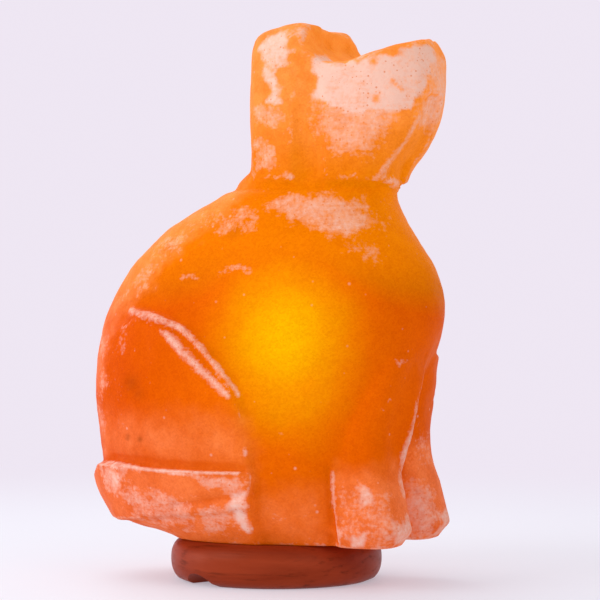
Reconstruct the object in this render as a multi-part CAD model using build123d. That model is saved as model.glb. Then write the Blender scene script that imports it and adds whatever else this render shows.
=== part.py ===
from build123d import *
import os
from math import cos, pi, sin

# Salt crystal lamp carved as a seated cat, standing on a turned wooden disc.
# Millimetres, +Z up.  The origin is the middle of the disc's underside, on the lamp holder's axis.
# The cat faces +X with its left flank on +Y.  Its head is turned to its left, so that the back of
# the head is on the -Y side and the face on the +Y side.

# ------------------------------------------------------------------ wooden base
base_height = 17.0
base_radius = 43.2                # at the widest point of the bulging edge
base_bulge_height = 9.0           # where the edge is widest
base_foot_radius = 38.6           # flat underside
base_edge_bands = 2               # turned bands below the widest point, and as many above it
base_edge_fullness = 1.2          # how far in from the widest radius the edge's arcs pass
base_low_curve = 0.36             # where the lower arc passes, as a share of the widest point's height
base_high_curve = 0.84            # where the upper arc passes, as a share of the disc's height
base_top_radius = 38.0            # flat top face
access_hole_radius = 19.5         # the lamp holder is pushed up through this hole
cord_groove_height = 5.0
cord_groove_width = 17.0
cord_groove_bearing = -115.0      # degrees from +X, seen from above

# ------------------------------------------------------------------ base screws and their plugs
screw_count = 3
screw_circle_radius = 28.5
screw_radius = 1.75
screw_length = 31.0               # head included
screw_head_radius = 3.6
screw_head_height = 2.4
counterbore_radius = 4.6
counterbore_depth = 6.0
plug_radius = 3.0
plug_length = 24.0
fixed_gap = 0.1                   # radial gap between pieces that are fixed to each other

# ------------------------------------------------------------------ lamp holder
holder_radius = 14.0
holder_bottom = 10.0
holder_length = 54.0
holder_wall = 1.8
cover_height = 14.0               # the holder's lower part
cord_hole_radius = 3.6
insulator_height = 9.0
screw_shell_radius = 7.3          # inside
screw_shell_wall = 0.4
screw_shell_length = 25.0
contact_width = 4.0
contact_length = 11.0
contact_thickness = 0.5
contact_boss_radius = 2.2
contact_boss_height = 1.0
rivet_radius = 0.9
terminal_offset = 6.2
terminal_size = 4.6
terminal_height = 6.0
terminal_screw_radius = 1.3
terminal_screw_head_radius = 2.1
terminal_screw_head_height = 1.2
turning_gap = 0.3                 # between the bulb and what it turns in

# ------------------------------------------------------------------ spring clip round the holder
clip_collar_bottom = 14.0
clip_collar_height = 8.0
clip_thickness = 0.7
clip_wing_count = 2
clip_wing_angle = 30.0            # width of a wing, in degrees round the holder
clip_shoulder_height = 19.0
clip_wing_bottom = 4.0
clip_running_gap = 0.08           # between a wing and the hole

# ------------------------------------------------------------------ bulb
bulb_radius = 13.0
bulb_length = 74.0
bulb_glass_wall = 0.8
bulb_dome_height = 11.0
bulb_dome_bands = 2               # turned bands from the full radius to the tip
bulb_neck_radius = 6.5
bulb_neck_height = 12.0           # of glass, from the bottom of the neck
bulb_shoulder_height = 12.0       # from the neck out to the full radius
bulb_cap_radius = screw_shell_radius - turning_gap
bulb_cap_wall = 0.3
bulb_cap_length = 20.0
bulb_insulator_radius = 4.6
bulb_insulator_height = 3.0
bulb_tip_radius = 2.3
bulb_tip_height = 1.4
neck_depth = 8.0                  # how far the glass reaches down into the cap
stem_radius = 2.4
stem_length = 16.0
filament_height = 52.0            # above the bulb's tip
filament_span = 11.0
filament_radius = 0.5
lead_radius = 0.4
lead_spread_bottom = 1.4

# ------------------------------------------------------------------ salt body
bulb_bore_radius = 22.5
bulb_bore_top = 132.0             # height of the bore's end above the table
bulb_bore_bevel = 6.0
section_points = 26
band_height = 9.0                # height of the bands that the carved forms are built in

# Torso: (height above the table, back, chest, half width, squareness)
torso_stations = [
    (base_height, -41.0, 50.0, 31.0, 2.6),
    (24.0, -64.0, 54.0, 37.5, 2.6),
    (34.0, -71.5, 56.0, 41.5, 2.5),
    (56.0, -75.5, 56.0, 44.5, 2.35),
    (80.0, -79.0, 61.5, 45.5, 2.3),
    (107.0, -75.8, 72.5, 44.0, 2.2),
    (128.0, -64.0, 68.5, 38.5, 2.15),
    (145.0, -45.0, 57.0, 32.5, 2.15),
    (156.5, -21.5, 51.0, 28.0, 2.3),
    (166.0, -9.5, 50.0, 22.5, 2.6),
]

# Raised thighs, oval, one on each flank
thigh_relief = 3.0
thigh_centre = (-37.0, 50.0)      # x, height
thigh_radii = (46.0, 58.0)
flank_clear = 25.0                # nearest to the middle plane that flank reliefs reach

# Tail, from behind the rump forward along the -Y flank
tail_relief = 5.0
tail_top = 47.5
tail_bottom_rear = 17.0
tail_bottom_front = 32.0
tail_end = 10.0                   # x of the blunt end above the hind paw
tail_bevel_start = -66.0          # from here back, the top edge of the tail slopes down
tail_bevel_slope = 0.7
tail_root = 14.0                  # y where the tail starts, behind the rump

# Hind paws, one on each flank
hind_paw_relief = 3.6
hind_paw_height = 14.0
hind_paw_back = -32.0
hind_paw_front = 9.0

# Front legs: (height, rear x, front x, inner y, outer y, squareness)
leg_stations = [
    (base_height, 37.0, 61.5, 8.0, 31.5, 3.2),
    (23.0, 36.0, 67.0, 7.0, 34.5, 3.2),
    (36.0, 36.5, 64.0, 6.0, 34.0, 3.2),
    (50.0, 37.0, 59.5, 5.0, 32.5, 3.0),
    (70.0, 38.5, 60.5, 3.0, 29.5, 2.8),
    (92.0, 42.0, 66.0, 2.0, 24.0, 2.6),
]
slot_back = 44.0                  # x of the back of the slot between the legs
slot_top = 86.0
slot_half_width = 7.0
slot_half_width_top = 1.5

# Head, in its own frame: p across, q towards the face, turned about Z
head_centre = (30.0, 0.0)
head_turn = 7.0
# (height, left p, right p, near q, far q, squareness)
head_stations = [
    (161.5, -37.0, 24.5, -24.5, 22.5, 3.2),
    (176.0, -37.4, 34.5, -25.5, 25.0, 3.2),
    (192.0, -38.0, 41.0, -25.0, 26.0, 3.2),
    (212.0, -38.4, 41.6, -23.0, 23.5, 3.2),
    (220.5, -37.2, 37.0, -21.0, 21.5, 3.0),
    (226.0, -31.5, 31.0, -15.5, 16.0, 2.6),
]
# Notch between the ears at the middle of the head, and the slope of the right ear: (p, height)
notch_outline = [(-8.0, 232.0), (-4.5, 215.0), (3.0, 209.5), (12.0, 209.5), (24.0, 232.0)]
notch_skew = 0.26                 # how far the notch moves along p for each mm of depth
right_ear_slope = [(5.0, 209.0), (37.0, 219.5), (60.0, 222.0)]
ear_saddle_radius = 26.0
ear_saddle_depth = 2.2
ear_saddle_turn = 32.0
valley_radius = 9.0               # channel down the back of the head beside the left ear
valley_depth = 3.0
valley_p = -7.5
jaw_line = [(17.0, 158.0), (26.5, 172.0), (33.5, 182.0), (38.0, 196.0)]
jaw_step = 3.0

# Face, carved into the far side of the head
face_p = 1.0
face_q = 25.5
muzzle_height = 179.0
muzzle_radii = (16.0, 10.5)
muzzle_relief = 4.5
muzzle_tip = 0.74                 # size of the front of the muzzle against its root
nose_width = 7.0
nose_height = 4.5
nose_relief = 1.5
eye_offset = 15.0
eye_height = 195.0
eye_length = 14.0
eye_width = 6.5
eye_depth = 1.8
eye_slant = 12.0
ear_cup_depth = 3.0
left_ear_cup = [(-33.0, 204.0), (-29.0, 220.0), (-14.0, 219.0), (-13.0, 207.0)]
right_ear_cup = [(17.0, 206.0), (33.0, 213.5), (36.0, 203.0)]


# ------------------------------------------------------------------ helpers
def rod(radius, low, high):
    """A cylinder about Z between two heights."""
    return Pos(0, 0, low) * Cylinder(radius, high - low, align=(Align.CENTER, Align.CENTER, Align.MIN))


def tube(outer, inner, low, high):
    return rod(outer, low, high) - rod(inner, low, high)


def turned(*points):
    """A solid turned about Z from an outline of (radius, height) points."""
    return revolve(make_face(Plane.XZ * Polyline(*points, close=True)), Axis.Z)


def around(count, first_bearing, item):
    """Copies of an item spaced evenly about Z."""
    return [Rot(0, 0, first_bearing + 360 / count * i) * item for i in range(count)]


def section(x_low, x_high, y_low, y_high, squareness, z):
    """Points round a closed rounded outline that fills the given limits, at height z."""
    x_mid, y_mid = (x_low + x_high) / 2, (y_low + y_high) / 2
    x_half, y_half = (x_high - x_low) / 2, (y_high - y_low) / 2
    points = []
    for i in range(section_points):
        t = 2 * pi * i / section_points
        c, s = cos(t), sin(t)
        r = (abs(c) ** squareness + abs(s) ** squareness) ** (-1 / squareness)
        points.append(Vector(x_mid + x_half * r * c, y_mid + y_half * r * s, z))
    return points


def between(before, start, end, after, t):
    """Smooth value between start and end, with the slopes that their neighbours give."""
    return start + t / 2 * (
        end - before + t * (2 * before - 5 * start + 4 * end - after
                            + t * (3 * (start - end) + after - before))
    )


def banded(stations):
    """The stations with smooth ones added between them, so that no band is much too high."""
    rows = []
    last = len(stations) - 1
    for i in range(last):
        four = [stations[max(i - 1, 0)], stations[i], stations[i + 1], stations[min(i + 2, last)]]
        steps = max(1, round((four[2][0] - four[1][0]) / band_height))
        for k in range(steps):
            t = k / steps
            height = four[1][0] + t * (four[2][0] - four[1][0])
            rows.append((height, *[between(*values, t) for values in list(zip(*four))[1:]]))
    return rows + [stations[last]]


def carved(sections):
    """A solid with flat facets between one section and the next, as a chisel leaves them."""
    faces = [Face(Wire.make_polygon(end, close=True)) for end in (sections[0], sections[-1])]
    for low, high in zip(sections, sections[1:]):
        for i in range(section_points):
            k = (i + 1) % section_points
            faces.append(Face(Wire.make_polygon([low[i], low[k], high[k]], close=True)))
            faces.append(Face(Wire.make_polygon([low[i], high[k], high[i]], close=True)))
    return Solid(Shell(faces))


# ------------------------------------------------------------------ the carved salt
def torso(side_relief=0.0, back_relief=0.0):
    """The cat's trunk, which the raised forms on it are cut from as a slightly larger copy."""
    sections = []
    for z, back, chest, half_width, squareness in banded(torso_stations):
        side = half_width + side_relief
        sections.append(section(back - back_relief, chest, -side, side, squareness, z))
    return carved(sections)


def middle_slab():
    """What the reliefs on the flanks stay clear of."""
    return Box(400, 2 * flank_clear, 400)


def thighs():
    oval = Plane.XZ * Pos(*thigh_centre) * Ellipse(*thigh_radii)
    return (torso(thigh_relief) & extrude(oval, amount=80, both=True)) - middle_slab()


def tail():
    rear = -120.0
    outline = Polyline(
        (rear, tail_bottom_rear),
        (tail_end, tail_bottom_front),
        (tail_end, tail_top),
        (tail_bevel_start, tail_top),
        (rear, tail_top - (tail_bevel_start - rear) * tail_bevel_slope),
        close=True,
    )
    band = Pos(0, tail_root, 0) * extrude(Plane.XZ * make_face(outline), amount=100)
    return torso(tail_relief, tail_relief) & band


def hind_paws():
    block = Pos(hind_paw_back, 0, base_height) * Box(
        hind_paw_front - hind_paw_back, 200, hind_paw_height,
        align=(Align.MIN, Align.CENTER, Align.MIN),
    )
    return (torso(hind_paw_relief) & block) - middle_slab()


def front_leg(side):
    sections = []
    for z, rear, front, inner, outer, squareness in banded(leg_stations):
        low, high = sorted((side * inner, side * outer))
        sections.append(section(rear, front, low, high, squareness, z))
    return carved(sections)


def leg_slot():
    """Recess between the front legs, narrower towards the chest."""
    outline = Polyline(
        (-slot_half_width, base_height - 1),
        (-slot_half_width_top, slot_top),
        (slot_half_width_top, slot_top),
        (slot_half_width, base_height - 1),
        close=True,
    )
    return Pos(slot_back, 0, 0) * extrude(Plane.YZ * make_face(outline), amount=60)


def prism(outline, from_q, to_q, lean=0.0):
    """An outline of (p, height) points run through the head, moved along p by the lean."""
    face = Pos(from_q * lean, from_q, 0) * make_face(Plane.XZ * Polyline(*outline, close=True))
    return extrude(face, amount=to_q - from_q, dir=Vector(lean, 1, 0))


def ear_slope():
    high = 250.0
    return prism(right_ear_slope + [(right_ear_slope[-1][0], high), (right_ear_slope[0][0], high)], -60, 60)


def ear_saddle():
    """Shallow dip across the top of the left ear."""
    top = head_stations[-1][0] - ear_saddle_depth + ear_saddle_radius
    middle = (head_stations[-1][1] + notch_outline[0][0]) / 2
    return Pos(middle, 0, top) * Rot(0, 0, ear_saddle_turn) * Rot(0, 90, 0) * Cylinder(ear_saddle_radius, 90)


def valley():
    height, near = head_stations[2][0], head_stations[2][3]
    return Pos(valley_p, near + valley_depth - valley_radius, height) * Cylinder(valley_radius, 120)


def head_block(inset=0.0):
    sections = []
    for z, left, right, near, far, squareness in banded(head_stations):
        sections.append(section(left + inset, right - inset, near + inset, far - inset, squareness, z))
    return carved(sections)


def jaw_side():
    """The region below and right of the jaw line, on the near side of the head."""
    wide = 80.0
    return prism(jaw_line + [(wide, jaw_line[-1][1]), (wide, jaw_line[0][1])], -60, 0)


def muzzle():
    depth = 12.0
    sections = []
    for height, scale in ((0, 1.0), (depth, muzzle_tip)):
        wide, high = muzzle_radii[0] * scale, muzzle_radii[1] * scale
        sections.append(section(-wide, wide, -high, high, 2.0, height))
    start = face_q + muzzle_relief - depth
    cone = Pos(face_p, start, muzzle_height) * Rot(-90, 0, 0) * carved(sections)
    top = muzzle_height + muzzle_radii[1] / 2
    nose = [(face_p - nose_width / 2, top), (face_p + nose_width / 2, top), (face_p, top - nose_height)]
    return cone + prism(nose, face_q - 2, face_q + muzzle_relief + nose_relief)


def eye(side):
    half, bulge = eye_length / 2, eye_width / 2
    lid_up = ThreePointArc((-half, 0), (0, bulge), (half, 0))
    lid_down = ThreePointArc((half, 0), (0, -bulge), (-half, 0))
    almond = Plane.XZ * Rot(0, 0, side * eye_slant) * make_face(lid_up + lid_down)
    place = Pos(face_p + side * eye_offset, face_q + 5, eye_height)
    return place * extrude(almond, amount=5 + eye_depth)


def head():
    side = jaw_side()
    block = head_block()
    block = (block - side) + (head_block(jaw_step) & side)
    block += muzzle()
    cuts = [prism(notch_outline, -60, 60, notch_skew), ear_slope(), ear_saddle(), valley(), eye(-1), eye(1)]
    for outline in (left_ear_cup, right_ear_cup):
        cuts.append(prism(outline, head_stations[3][4] - ear_cup_depth, 60))
    for cut in cuts:
        block -= cut
    return Pos(*head_centre, 0) * Rot(0, 0, head_turn) * block


def bulb_bore():
    return turned(
        (0, base_height - 1),
        (bulb_bore_radius, base_height - 1),
        (bulb_bore_radius, bulb_bore_top - bulb_bore_bevel),
        (bulb_bore_radius - bulb_bore_bevel, bulb_bore_top),
        (0, bulb_bore_top),
    )


def plug_holes():
    hole = Pos(screw_circle_radius, 0, 0) * rod(
        plug_radius + fixed_gap, base_height - 1, base_height + plug_length + fixed_gap
    )
    return around(screw_count, screw_bearing, hole)


def salt_crystal():
    body = torso() + thighs()
    body += tail()
    body += hind_paws()
    body = body + front_leg(-1) + front_leg(1)
    body -= leg_slot()
    body += head()
    body -= bulb_bore()
    for hole in plug_holes():
        body -= hole
    return body


# ------------------------------------------------------------------ base and its fixings
screw_bearing = cord_groove_bearing + 180.0 / screw_count


def wooden_base():
    foot = (base_foot_radius, 0)
    widest = (base_radius, base_bulge_height)
    top = (base_top_radius, base_height)
    edge = base_radius - base_edge_fullness
    low_side = ThreePointArc(foot, (edge, base_bulge_height * base_low_curve), widest)
    high_side = ThreePointArc(widest, (edge, base_height * base_high_curve), top)
    bands = base_edge_bands
    side = [low_side @ (i / bands) for i in range(bands)]
    side += [high_side @ (i / bands) for i in range(bands + 1)]
    disc = turned((access_hole_radius, base_height), (access_hole_radius, 0), *[(v.X, v.Y) for v in side])
    arch = (cord_groove_width**2 / 4 + cord_groove_height**2) / (2 * cord_groove_height)
    groove = Pos(0, 0, cord_groove_height - arch) * Rot(0, 90, 0) * Cylinder(
        arch, 2 * base_radius, align=(Align.CENTER, Align.CENTER, Align.MIN)
    )
    disc -= Rot(0, 0, cord_groove_bearing) * groove
    hole = Pos(screw_circle_radius, 0, 0) * (
        rod(screw_radius + fixed_gap, -1, base_height + 1) + rod(counterbore_radius, -1, counterbore_depth)
    )
    for cut in around(screw_count, screw_bearing, hole):
        disc -= cut
    return disc


def base_screws():
    head_top = counterbore_depth
    head_bottom = head_top - screw_head_height
    head = rod(screw_head_radius, head_bottom, head_top)
    screw = head + rod(screw_radius, head_top, head_bottom + screw_length)
    return around(screw_count, screw_bearing, Pos(screw_circle_radius, 0, 0) * screw)


def screw_plugs():
    plug = tube(plug_radius, screw_radius + fixed_gap, base_height, base_height + plug_length)
    return around(screw_count, screw_bearing, Pos(screw_circle_radius, 0, 0) * plug)


# ------------------------------------------------------------------ lamp holder
cover_top = holder_bottom + cover_height
insulator_bottom = cover_top
insulator_top = insulator_bottom + insulator_height
holder_top = holder_bottom + holder_length
bulb_tip = insulator_top + contact_boss_height + turning_gap


def holder_cover():
    cover = rod(holder_radius, holder_bottom, cover_top)
    cover -= rod(holder_radius - 2 * holder_wall, holder_bottom + holder_wall, cover_top)
    return cover - rod(cord_hole_radius, holder_bottom, cover_top)


def holder_shell():
    shell = tube(holder_radius, holder_radius - holder_wall, cover_top, holder_top - holder_wall)
    mouth = screw_shell_radius + screw_shell_wall + fixed_gap
    return shell + tube(holder_radius, mouth, holder_top - holder_wall, holder_top)


def terminal_positions():
    return [Pos(terminal_offset, 0, 0), Pos(-terminal_offset, 0, 0)]


def holder_insulator():
    body = rod(holder_radius - holder_wall - fixed_gap, insulator_bottom, insulator_top)
    return body - rod(rivet_radius + fixed_gap, insulator_bottom, insulator_top)


def holder_screw_shell():
    outer = screw_shell_radius + screw_shell_wall
    return tube(outer, screw_shell_radius, insulator_top, insulator_top + screw_shell_length)


def holder_centre_contact():
    strip = Pos(0, 0, insulator_top) * Box(
        contact_length, contact_width, contact_thickness, align=(Align.CENTER, Align.CENTER, Align.MIN)
    )
    boss = rod(contact_boss_radius, insulator_top, insulator_top + contact_boss_height)
    rivet = rod(rivet_radius, insulator_bottom - contact_thickness, insulator_top)
    return strip + boss + rivet


def holder_terminals():
    block = Pos(0, 0, insulator_bottom) * Box(
        terminal_size, terminal_size, terminal_height, align=(Align.CENTER, Align.CENTER, Align.MAX)
    )
    block -= rod(terminal_screw_radius + fixed_gap, insulator_bottom - terminal_height, insulator_bottom)
    return [place * block for place in terminal_positions()]


def terminal_screws():
    low = insulator_bottom - terminal_height
    head = rod(terminal_screw_head_radius, low - terminal_screw_head_height, low)
    screw = head + rod(terminal_screw_radius, low, insulator_bottom - fixed_gap)
    return [place * screw for place in terminal_positions()]


def spring_clip():
    """A collar with wings that bow outwards and press on the hole in the base."""
    inner = holder_radius + fixed_gap
    outer = inner + clip_thickness
    collar_top = clip_collar_bottom + clip_collar_height
    clip = tube(outer, inner, clip_collar_bottom, collar_top)
    reach = access_hole_radius - clip_running_gap
    bend = reach - clip_thickness
    foot = (reach + outer) / 2
    wing_outline = Polyline(
        (outer, collar_top - clip_thickness),
        (outer, collar_top),
        (outer + clip_thickness, collar_top),
        (reach, clip_shoulder_height - clip_thickness),
        (reach, base_height / 2),
        (foot, clip_wing_bottom),
        (foot - clip_thickness, clip_wing_bottom),
        (bend, base_height / 2),
        (bend, clip_shoulder_height - 2 * clip_thickness),
        (outer, collar_top - clip_thickness),
    )
    wing = revolve(Plane.XZ * make_face(wing_outline), Axis.Z, clip_wing_angle)
    first_wing = cord_groove_bearing + 180 / clip_wing_count - clip_wing_angle / 2
    for piece in around(clip_wing_count, first_wing, wing):
        clip += piece
    return clip


# ------------------------------------------------------------------ bulb
cap_bottom = bulb_tip + bulb_tip_height + bulb_insulator_height
cap_top = cap_bottom + bulb_cap_length
glass_bottom = cap_top - neck_depth
neck_top = glass_bottom + bulb_neck_height
shoulder_top = neck_top + bulb_shoulder_height
glass_top = bulb_tip + bulb_length
filament_z = bulb_tip + filament_height
stem_top = glass_bottom + stem_length


def bulb_contact():
    return rod(bulb_tip_radius, bulb_tip, bulb_tip + bulb_tip_height)


def bulb_cap_insulator():
    return rod(bulb_insulator_radius, bulb_tip + bulb_tip_height, cap_bottom)


def bulb_cap():
    return tube(bulb_cap_radius, bulb_cap_radius - bulb_cap_wall, cap_bottom, cap_top)


def bulb_outline(wall):
    """Half outline of the glass, drawn in by the wall for its inside."""
    full, neck = bulb_radius - wall, bulb_neck_radius - wall
    points = [(0, glass_bottom + wall), (neck, glass_bottom + wall), (neck, neck_top), (full, shoulder_top)]
    for i in range(bulb_dome_bands):
        t = pi / 2 * i / bulb_dome_bands
        points.append((full * cos(t), glass_top - bulb_dome_height + (bulb_dome_height - wall) * sin(t)))
    return points + [(0, glass_top - wall)]


def bulb_glass():
    hole = rod(stem_radius + fixed_gap, glass_bottom, glass_bottom + 2 * bulb_glass_wall)
    return turned(*bulb_outline(0)) - turned(*bulb_outline(bulb_glass_wall)) - hole


def bulb_stem():
    return rod(stem_radius, glass_bottom, stem_top)


def bulb_lead_wires():
    """Two wires that spread from the stem to the ends of the filament."""
    wires = []
    for side in (-1, 1):
        start = Vector(0, side * lead_spread_bottom, stem_top + fixed_gap)
        end = Vector(0, side * filament_span / 2, filament_z - filament_radius - lead_radius)
        axis = end - start
        wires.append(Solid.make_cylinder(lead_radius, axis.length, Plane(start, z_dir=axis)))
    return wires


def bulb_filament():
    return Pos(0, 0, filament_z) * Rot(90, 0, 0) * Cylinder(filament_radius, filament_span)


# ------------------------------------------------------------------ write the pieces
parts = {
    "salt_crystal": salt_crystal(),
    "wooden_base": wooden_base(),
    "base_screws": base_screws(),
    "screw_plugs": screw_plugs(),
    "holder_cover": holder_cover(),
    "holder_shell": holder_shell(),
    "holder_insulator": holder_insulator(),
    "holder_screw_shell": holder_screw_shell(),
    "holder_centre_contact": holder_centre_contact(),
    "holder_terminals": holder_terminals(),
    "terminal_screws": terminal_screws(),
    "spring_clip": spring_clip(),
    "bulb_contact": bulb_contact(),
    "bulb_cap_insulator": bulb_cap_insulator(),
    "bulb_cap": bulb_cap(),
    "bulb_glass": bulb_glass(),
    "bulb_stem": bulb_stem(),
    "bulb_lead_wires": bulb_lead_wires(),
    "bulb_filament": bulb_filament(),
}
os.makedirs("parts", exist_ok=True)
for name, shape in parts.items():
    if isinstance(shape, list):
        shape = Compound(children=[Part(s.wrapped) for s in shape])
    export_step(shape, f"parts/{name}.step")
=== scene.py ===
# %% [markdown]
# # A carved rock-salt lamp, lit from inside
# This lesson dresses a seated cat carved from rock salt. The solids come ready made from a frame that
# is never moved, so each step adds a better surface or a finer shape in the same place. Everything is
# in metres, with +Z up and the cat facing +X.

# %% Load the frame
import bmesh
import bpy
import math
import numpy as np
from mathutils import Matrix, Vector
from mathutils.kdtree import KDTree


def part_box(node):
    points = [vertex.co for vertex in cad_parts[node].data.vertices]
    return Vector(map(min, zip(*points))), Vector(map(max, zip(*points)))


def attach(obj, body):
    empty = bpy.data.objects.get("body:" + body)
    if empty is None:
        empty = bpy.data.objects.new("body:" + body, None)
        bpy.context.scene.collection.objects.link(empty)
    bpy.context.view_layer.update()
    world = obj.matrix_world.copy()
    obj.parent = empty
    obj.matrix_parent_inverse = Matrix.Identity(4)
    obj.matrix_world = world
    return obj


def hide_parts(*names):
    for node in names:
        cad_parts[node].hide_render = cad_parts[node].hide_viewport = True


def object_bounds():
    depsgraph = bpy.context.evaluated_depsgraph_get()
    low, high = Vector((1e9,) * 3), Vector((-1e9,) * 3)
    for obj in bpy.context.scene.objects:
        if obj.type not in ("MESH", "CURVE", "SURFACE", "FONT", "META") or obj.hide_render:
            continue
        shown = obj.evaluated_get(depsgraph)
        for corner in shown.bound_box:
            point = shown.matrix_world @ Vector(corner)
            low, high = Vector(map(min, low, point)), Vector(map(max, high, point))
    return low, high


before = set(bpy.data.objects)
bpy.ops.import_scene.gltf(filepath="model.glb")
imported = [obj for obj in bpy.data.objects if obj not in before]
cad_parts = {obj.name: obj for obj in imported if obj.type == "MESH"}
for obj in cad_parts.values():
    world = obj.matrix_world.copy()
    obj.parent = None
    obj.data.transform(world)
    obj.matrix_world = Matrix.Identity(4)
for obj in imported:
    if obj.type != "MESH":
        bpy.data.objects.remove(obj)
cad_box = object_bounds()
mm = 0.001
print("frame box", [tuple(round(c / mm, 1) for c in corner) for corner in cad_box], "mm")


# %% [markdown]
# ## Small helpers for objects
# Every object goes into the scene in the same way, and the camera and the lights are aimed alike.

# %% Object helpers
def linked(name, data):
    """An object in the scene that holds the data."""
    made = bpy.data.objects.new(name, data)
    bpy.context.scene.collection.objects.link(made)
    return made


def meshed(name, bm):
    """A mesh made from a bmesh, which is then freed."""
    mesh = bpy.data.meshes.new(name)
    bm.to_mesh(mesh)
    bm.free()
    return mesh


def aimed(thing, place, target):
    """Puts a camera or a light in its place and points it at the target."""
    thing.location = place
    thing.rotation_mode = "QUATERNION"
    thing.rotation_quaternion = (target - thing.location).to_track_quat("-Z", "Y")


def paint(piece, material):
    piece.data.materials.clear()
    piece.data.materials.append(material)


print("object helpers ready")

# %% [markdown]
# ## Where the picture is taken from
# A long lens from more than a metre away keeps the lamp's sides nearly parallel, as a product picture
# does. The camera looks at the cat's right flank, a little from the front, and is almost level with it.
# It is aimed slightly off the lamp's middle, which frames the lamp without shifting the lens.

# %% Camera
camera_azimuth, camera_elevation = math.radians(25), math.radians(0.75)
camera_distance = 1.100
camera_target = Vector((0, 0, 0.116))
camera_lens = 160.97                       # on a 36 mm sensor
aim_right, aim_down = 0.00964, 0.00185

back = Vector((
    math.sin(camera_azimuth) * math.cos(camera_elevation),
    -math.cos(camera_azimuth) * math.cos(camera_elevation),
    math.sin(camera_elevation),
))
right = Vector((math.cos(camera_azimuth), math.sin(camera_azimuth), 0))
camera = linked("camera", bpy.data.cameras.new("camera"))
camera.data.lens = camera_lens
camera.data.clip_start = 0.05
aim = camera_target + right * aim_right - right.cross(-back) * aim_down
aimed(camera, camera_target + back * camera_distance, aim)
bpy.context.scene.camera = camera
bpy.context.scene.view_settings.view_transform = "Standard"
print("camera at", tuple(round(c, 3) for c in camera.location))


# %% [markdown]
# ## Small helpers for node trees
# A node tree is a list of nodes and the wires between them. A `Wire` is one node's output. Adding,
# subtracting, multiplying or dividing wires adds a Math node, so a material reads like a sum. The other
# helpers add the nodes that every material needs: a colour ramp, a mix, a change of range and a bump.

# %% Node helpers
class Wire:
    """A node's output. Arithmetic on it adds Math nodes, and [name] gives the same node's other output."""
    def __init__(self, socket):
        self.socket = socket

    def __getitem__(self, name):
        return Wire(self.socket.node.outputs[name])

    def __add__(self, other):
        return reckon("ADD", self, other)

    def __sub__(self, other):
        return reckon("SUBTRACT", self, other)

    def __mul__(self, other):
        return reckon("MULTIPLY", self, other)

    def __truediv__(self, other):
        return reckon("DIVIDE", self, other)


def tree_of(*values):
    """The node tree of the first wire among the values."""
    return next(value.socket.id_data for value in values if isinstance(value, Wire))


def plug(target, value):
    """Wires an output to an input, or sets the input's own value."""
    if isinstance(value, Wire):
        target.id_data.links.new(value.socket, target)
    else:
        target.default_value = value


def add(tree, kind, inputs=None, **settings):
    """Adds a node, fills its inputs and gives its first output."""
    node = tree.nodes.new(kind)
    for name, value in settings.items():
        setattr(node, name, value)
    for name, value in (inputs or {}).items():
        plug(node.inputs[name], value)
    return Wire(node.outputs[0])


def reckon(operation, first, second=0.5, clamp=False):
    return add(tree_of(first, second), "ShaderNodeMath", {0: first, 1: second},
               operation=operation, use_clamp=clamp)


def ramp(factor, stops, smooth="LINEAR"):
    """A colour ramp from (position, colour) stops."""
    made = add(tree_of(factor), "ShaderNodeValToRGB", {"Fac": factor})
    colours = made.socket.node.color_ramp
    colours.interpolation = smooth
    while len(colours.elements) < len(stops):
        colours.elements.new(0.5)
    for element, (position, colour) in zip(colours.elements, stops):
        element.position = position
        element.color = (*colour, 1)
    return made


def mixed(factor, first, second, blend="MIX"):
    """One colour mixed into another."""
    first, second = (value if isinstance(value, Wire) else (*value, 1) for value in (first, second))
    made = add(tree_of(factor, first, second), "ShaderNodeMix", data_type="RGBA", blend_type=blend)
    node = made.socket.node
    for index, value in ((0, factor), (6, first), (7, second)):
        plug(node.inputs[index], value)
    return Wire(node.outputs[2])


def ranged(value, low, high, to_low=0.0, to_high=1.0, curve="LINEAR"):
    """A value carried from one range to another, and held at its ends."""
    return add(tree_of(value), "ShaderNodeMapRange", {
        "Value": value, "From Min": low, "From Max": high, "To Min": to_low, "To Max": to_high,
    }, interpolation_type=curve)


def squeezed(place, scale):
    """The place scaled along each axis, which draws a pattern out along the axes with small scales."""
    return add(tree_of(place), "ShaderNodeMapping", {"Vector": place, "Scale": scale})


def length_of(vector):
    return add(tree_of(vector), "ShaderNodeVectorMath", {0: vector}, operation="LENGTH")["Value"]


def finish_named(name, **constants):
    """A material whose whole-surface constants sit on the shader's own sockets."""
    material = bpy.data.materials.new(name)
    material.use_nodes = True
    shader = material.node_tree.nodes["Principled BSDF"]
    for socket, value in constants.items():
        shader.inputs[socket.replace("_", " ")].default_value = value
    return material, shader, add(material.node_tree, "ShaderNodeTexCoord")["Object"]


def surfaced(shader, relief, strength, depth, **wires):
    """Wires what changes over the surface, with the relief as a bump so many millimetres deep."""
    bump = {"Height": relief, "Strength": strength, "Distance": depth * mm}
    wires["Normal"] = add(shader.id_data, "ShaderNodeBump", bump)
    for socket, wire in wires.items():
        plug(shader.inputs[socket.replace("_", " ")], wire)


print("node helpers ready")

# %% [markdown]
# ## The studio
# The lamp stands on a pale sweep with no visible edge. The floor is an ordinary matt surface near the
# lamp, where it takes the shadow, and further out it fades into the same pale tint as the backdrop.
# Soft, even light comes from large panels, so that colours come out about as they are written.

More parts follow.
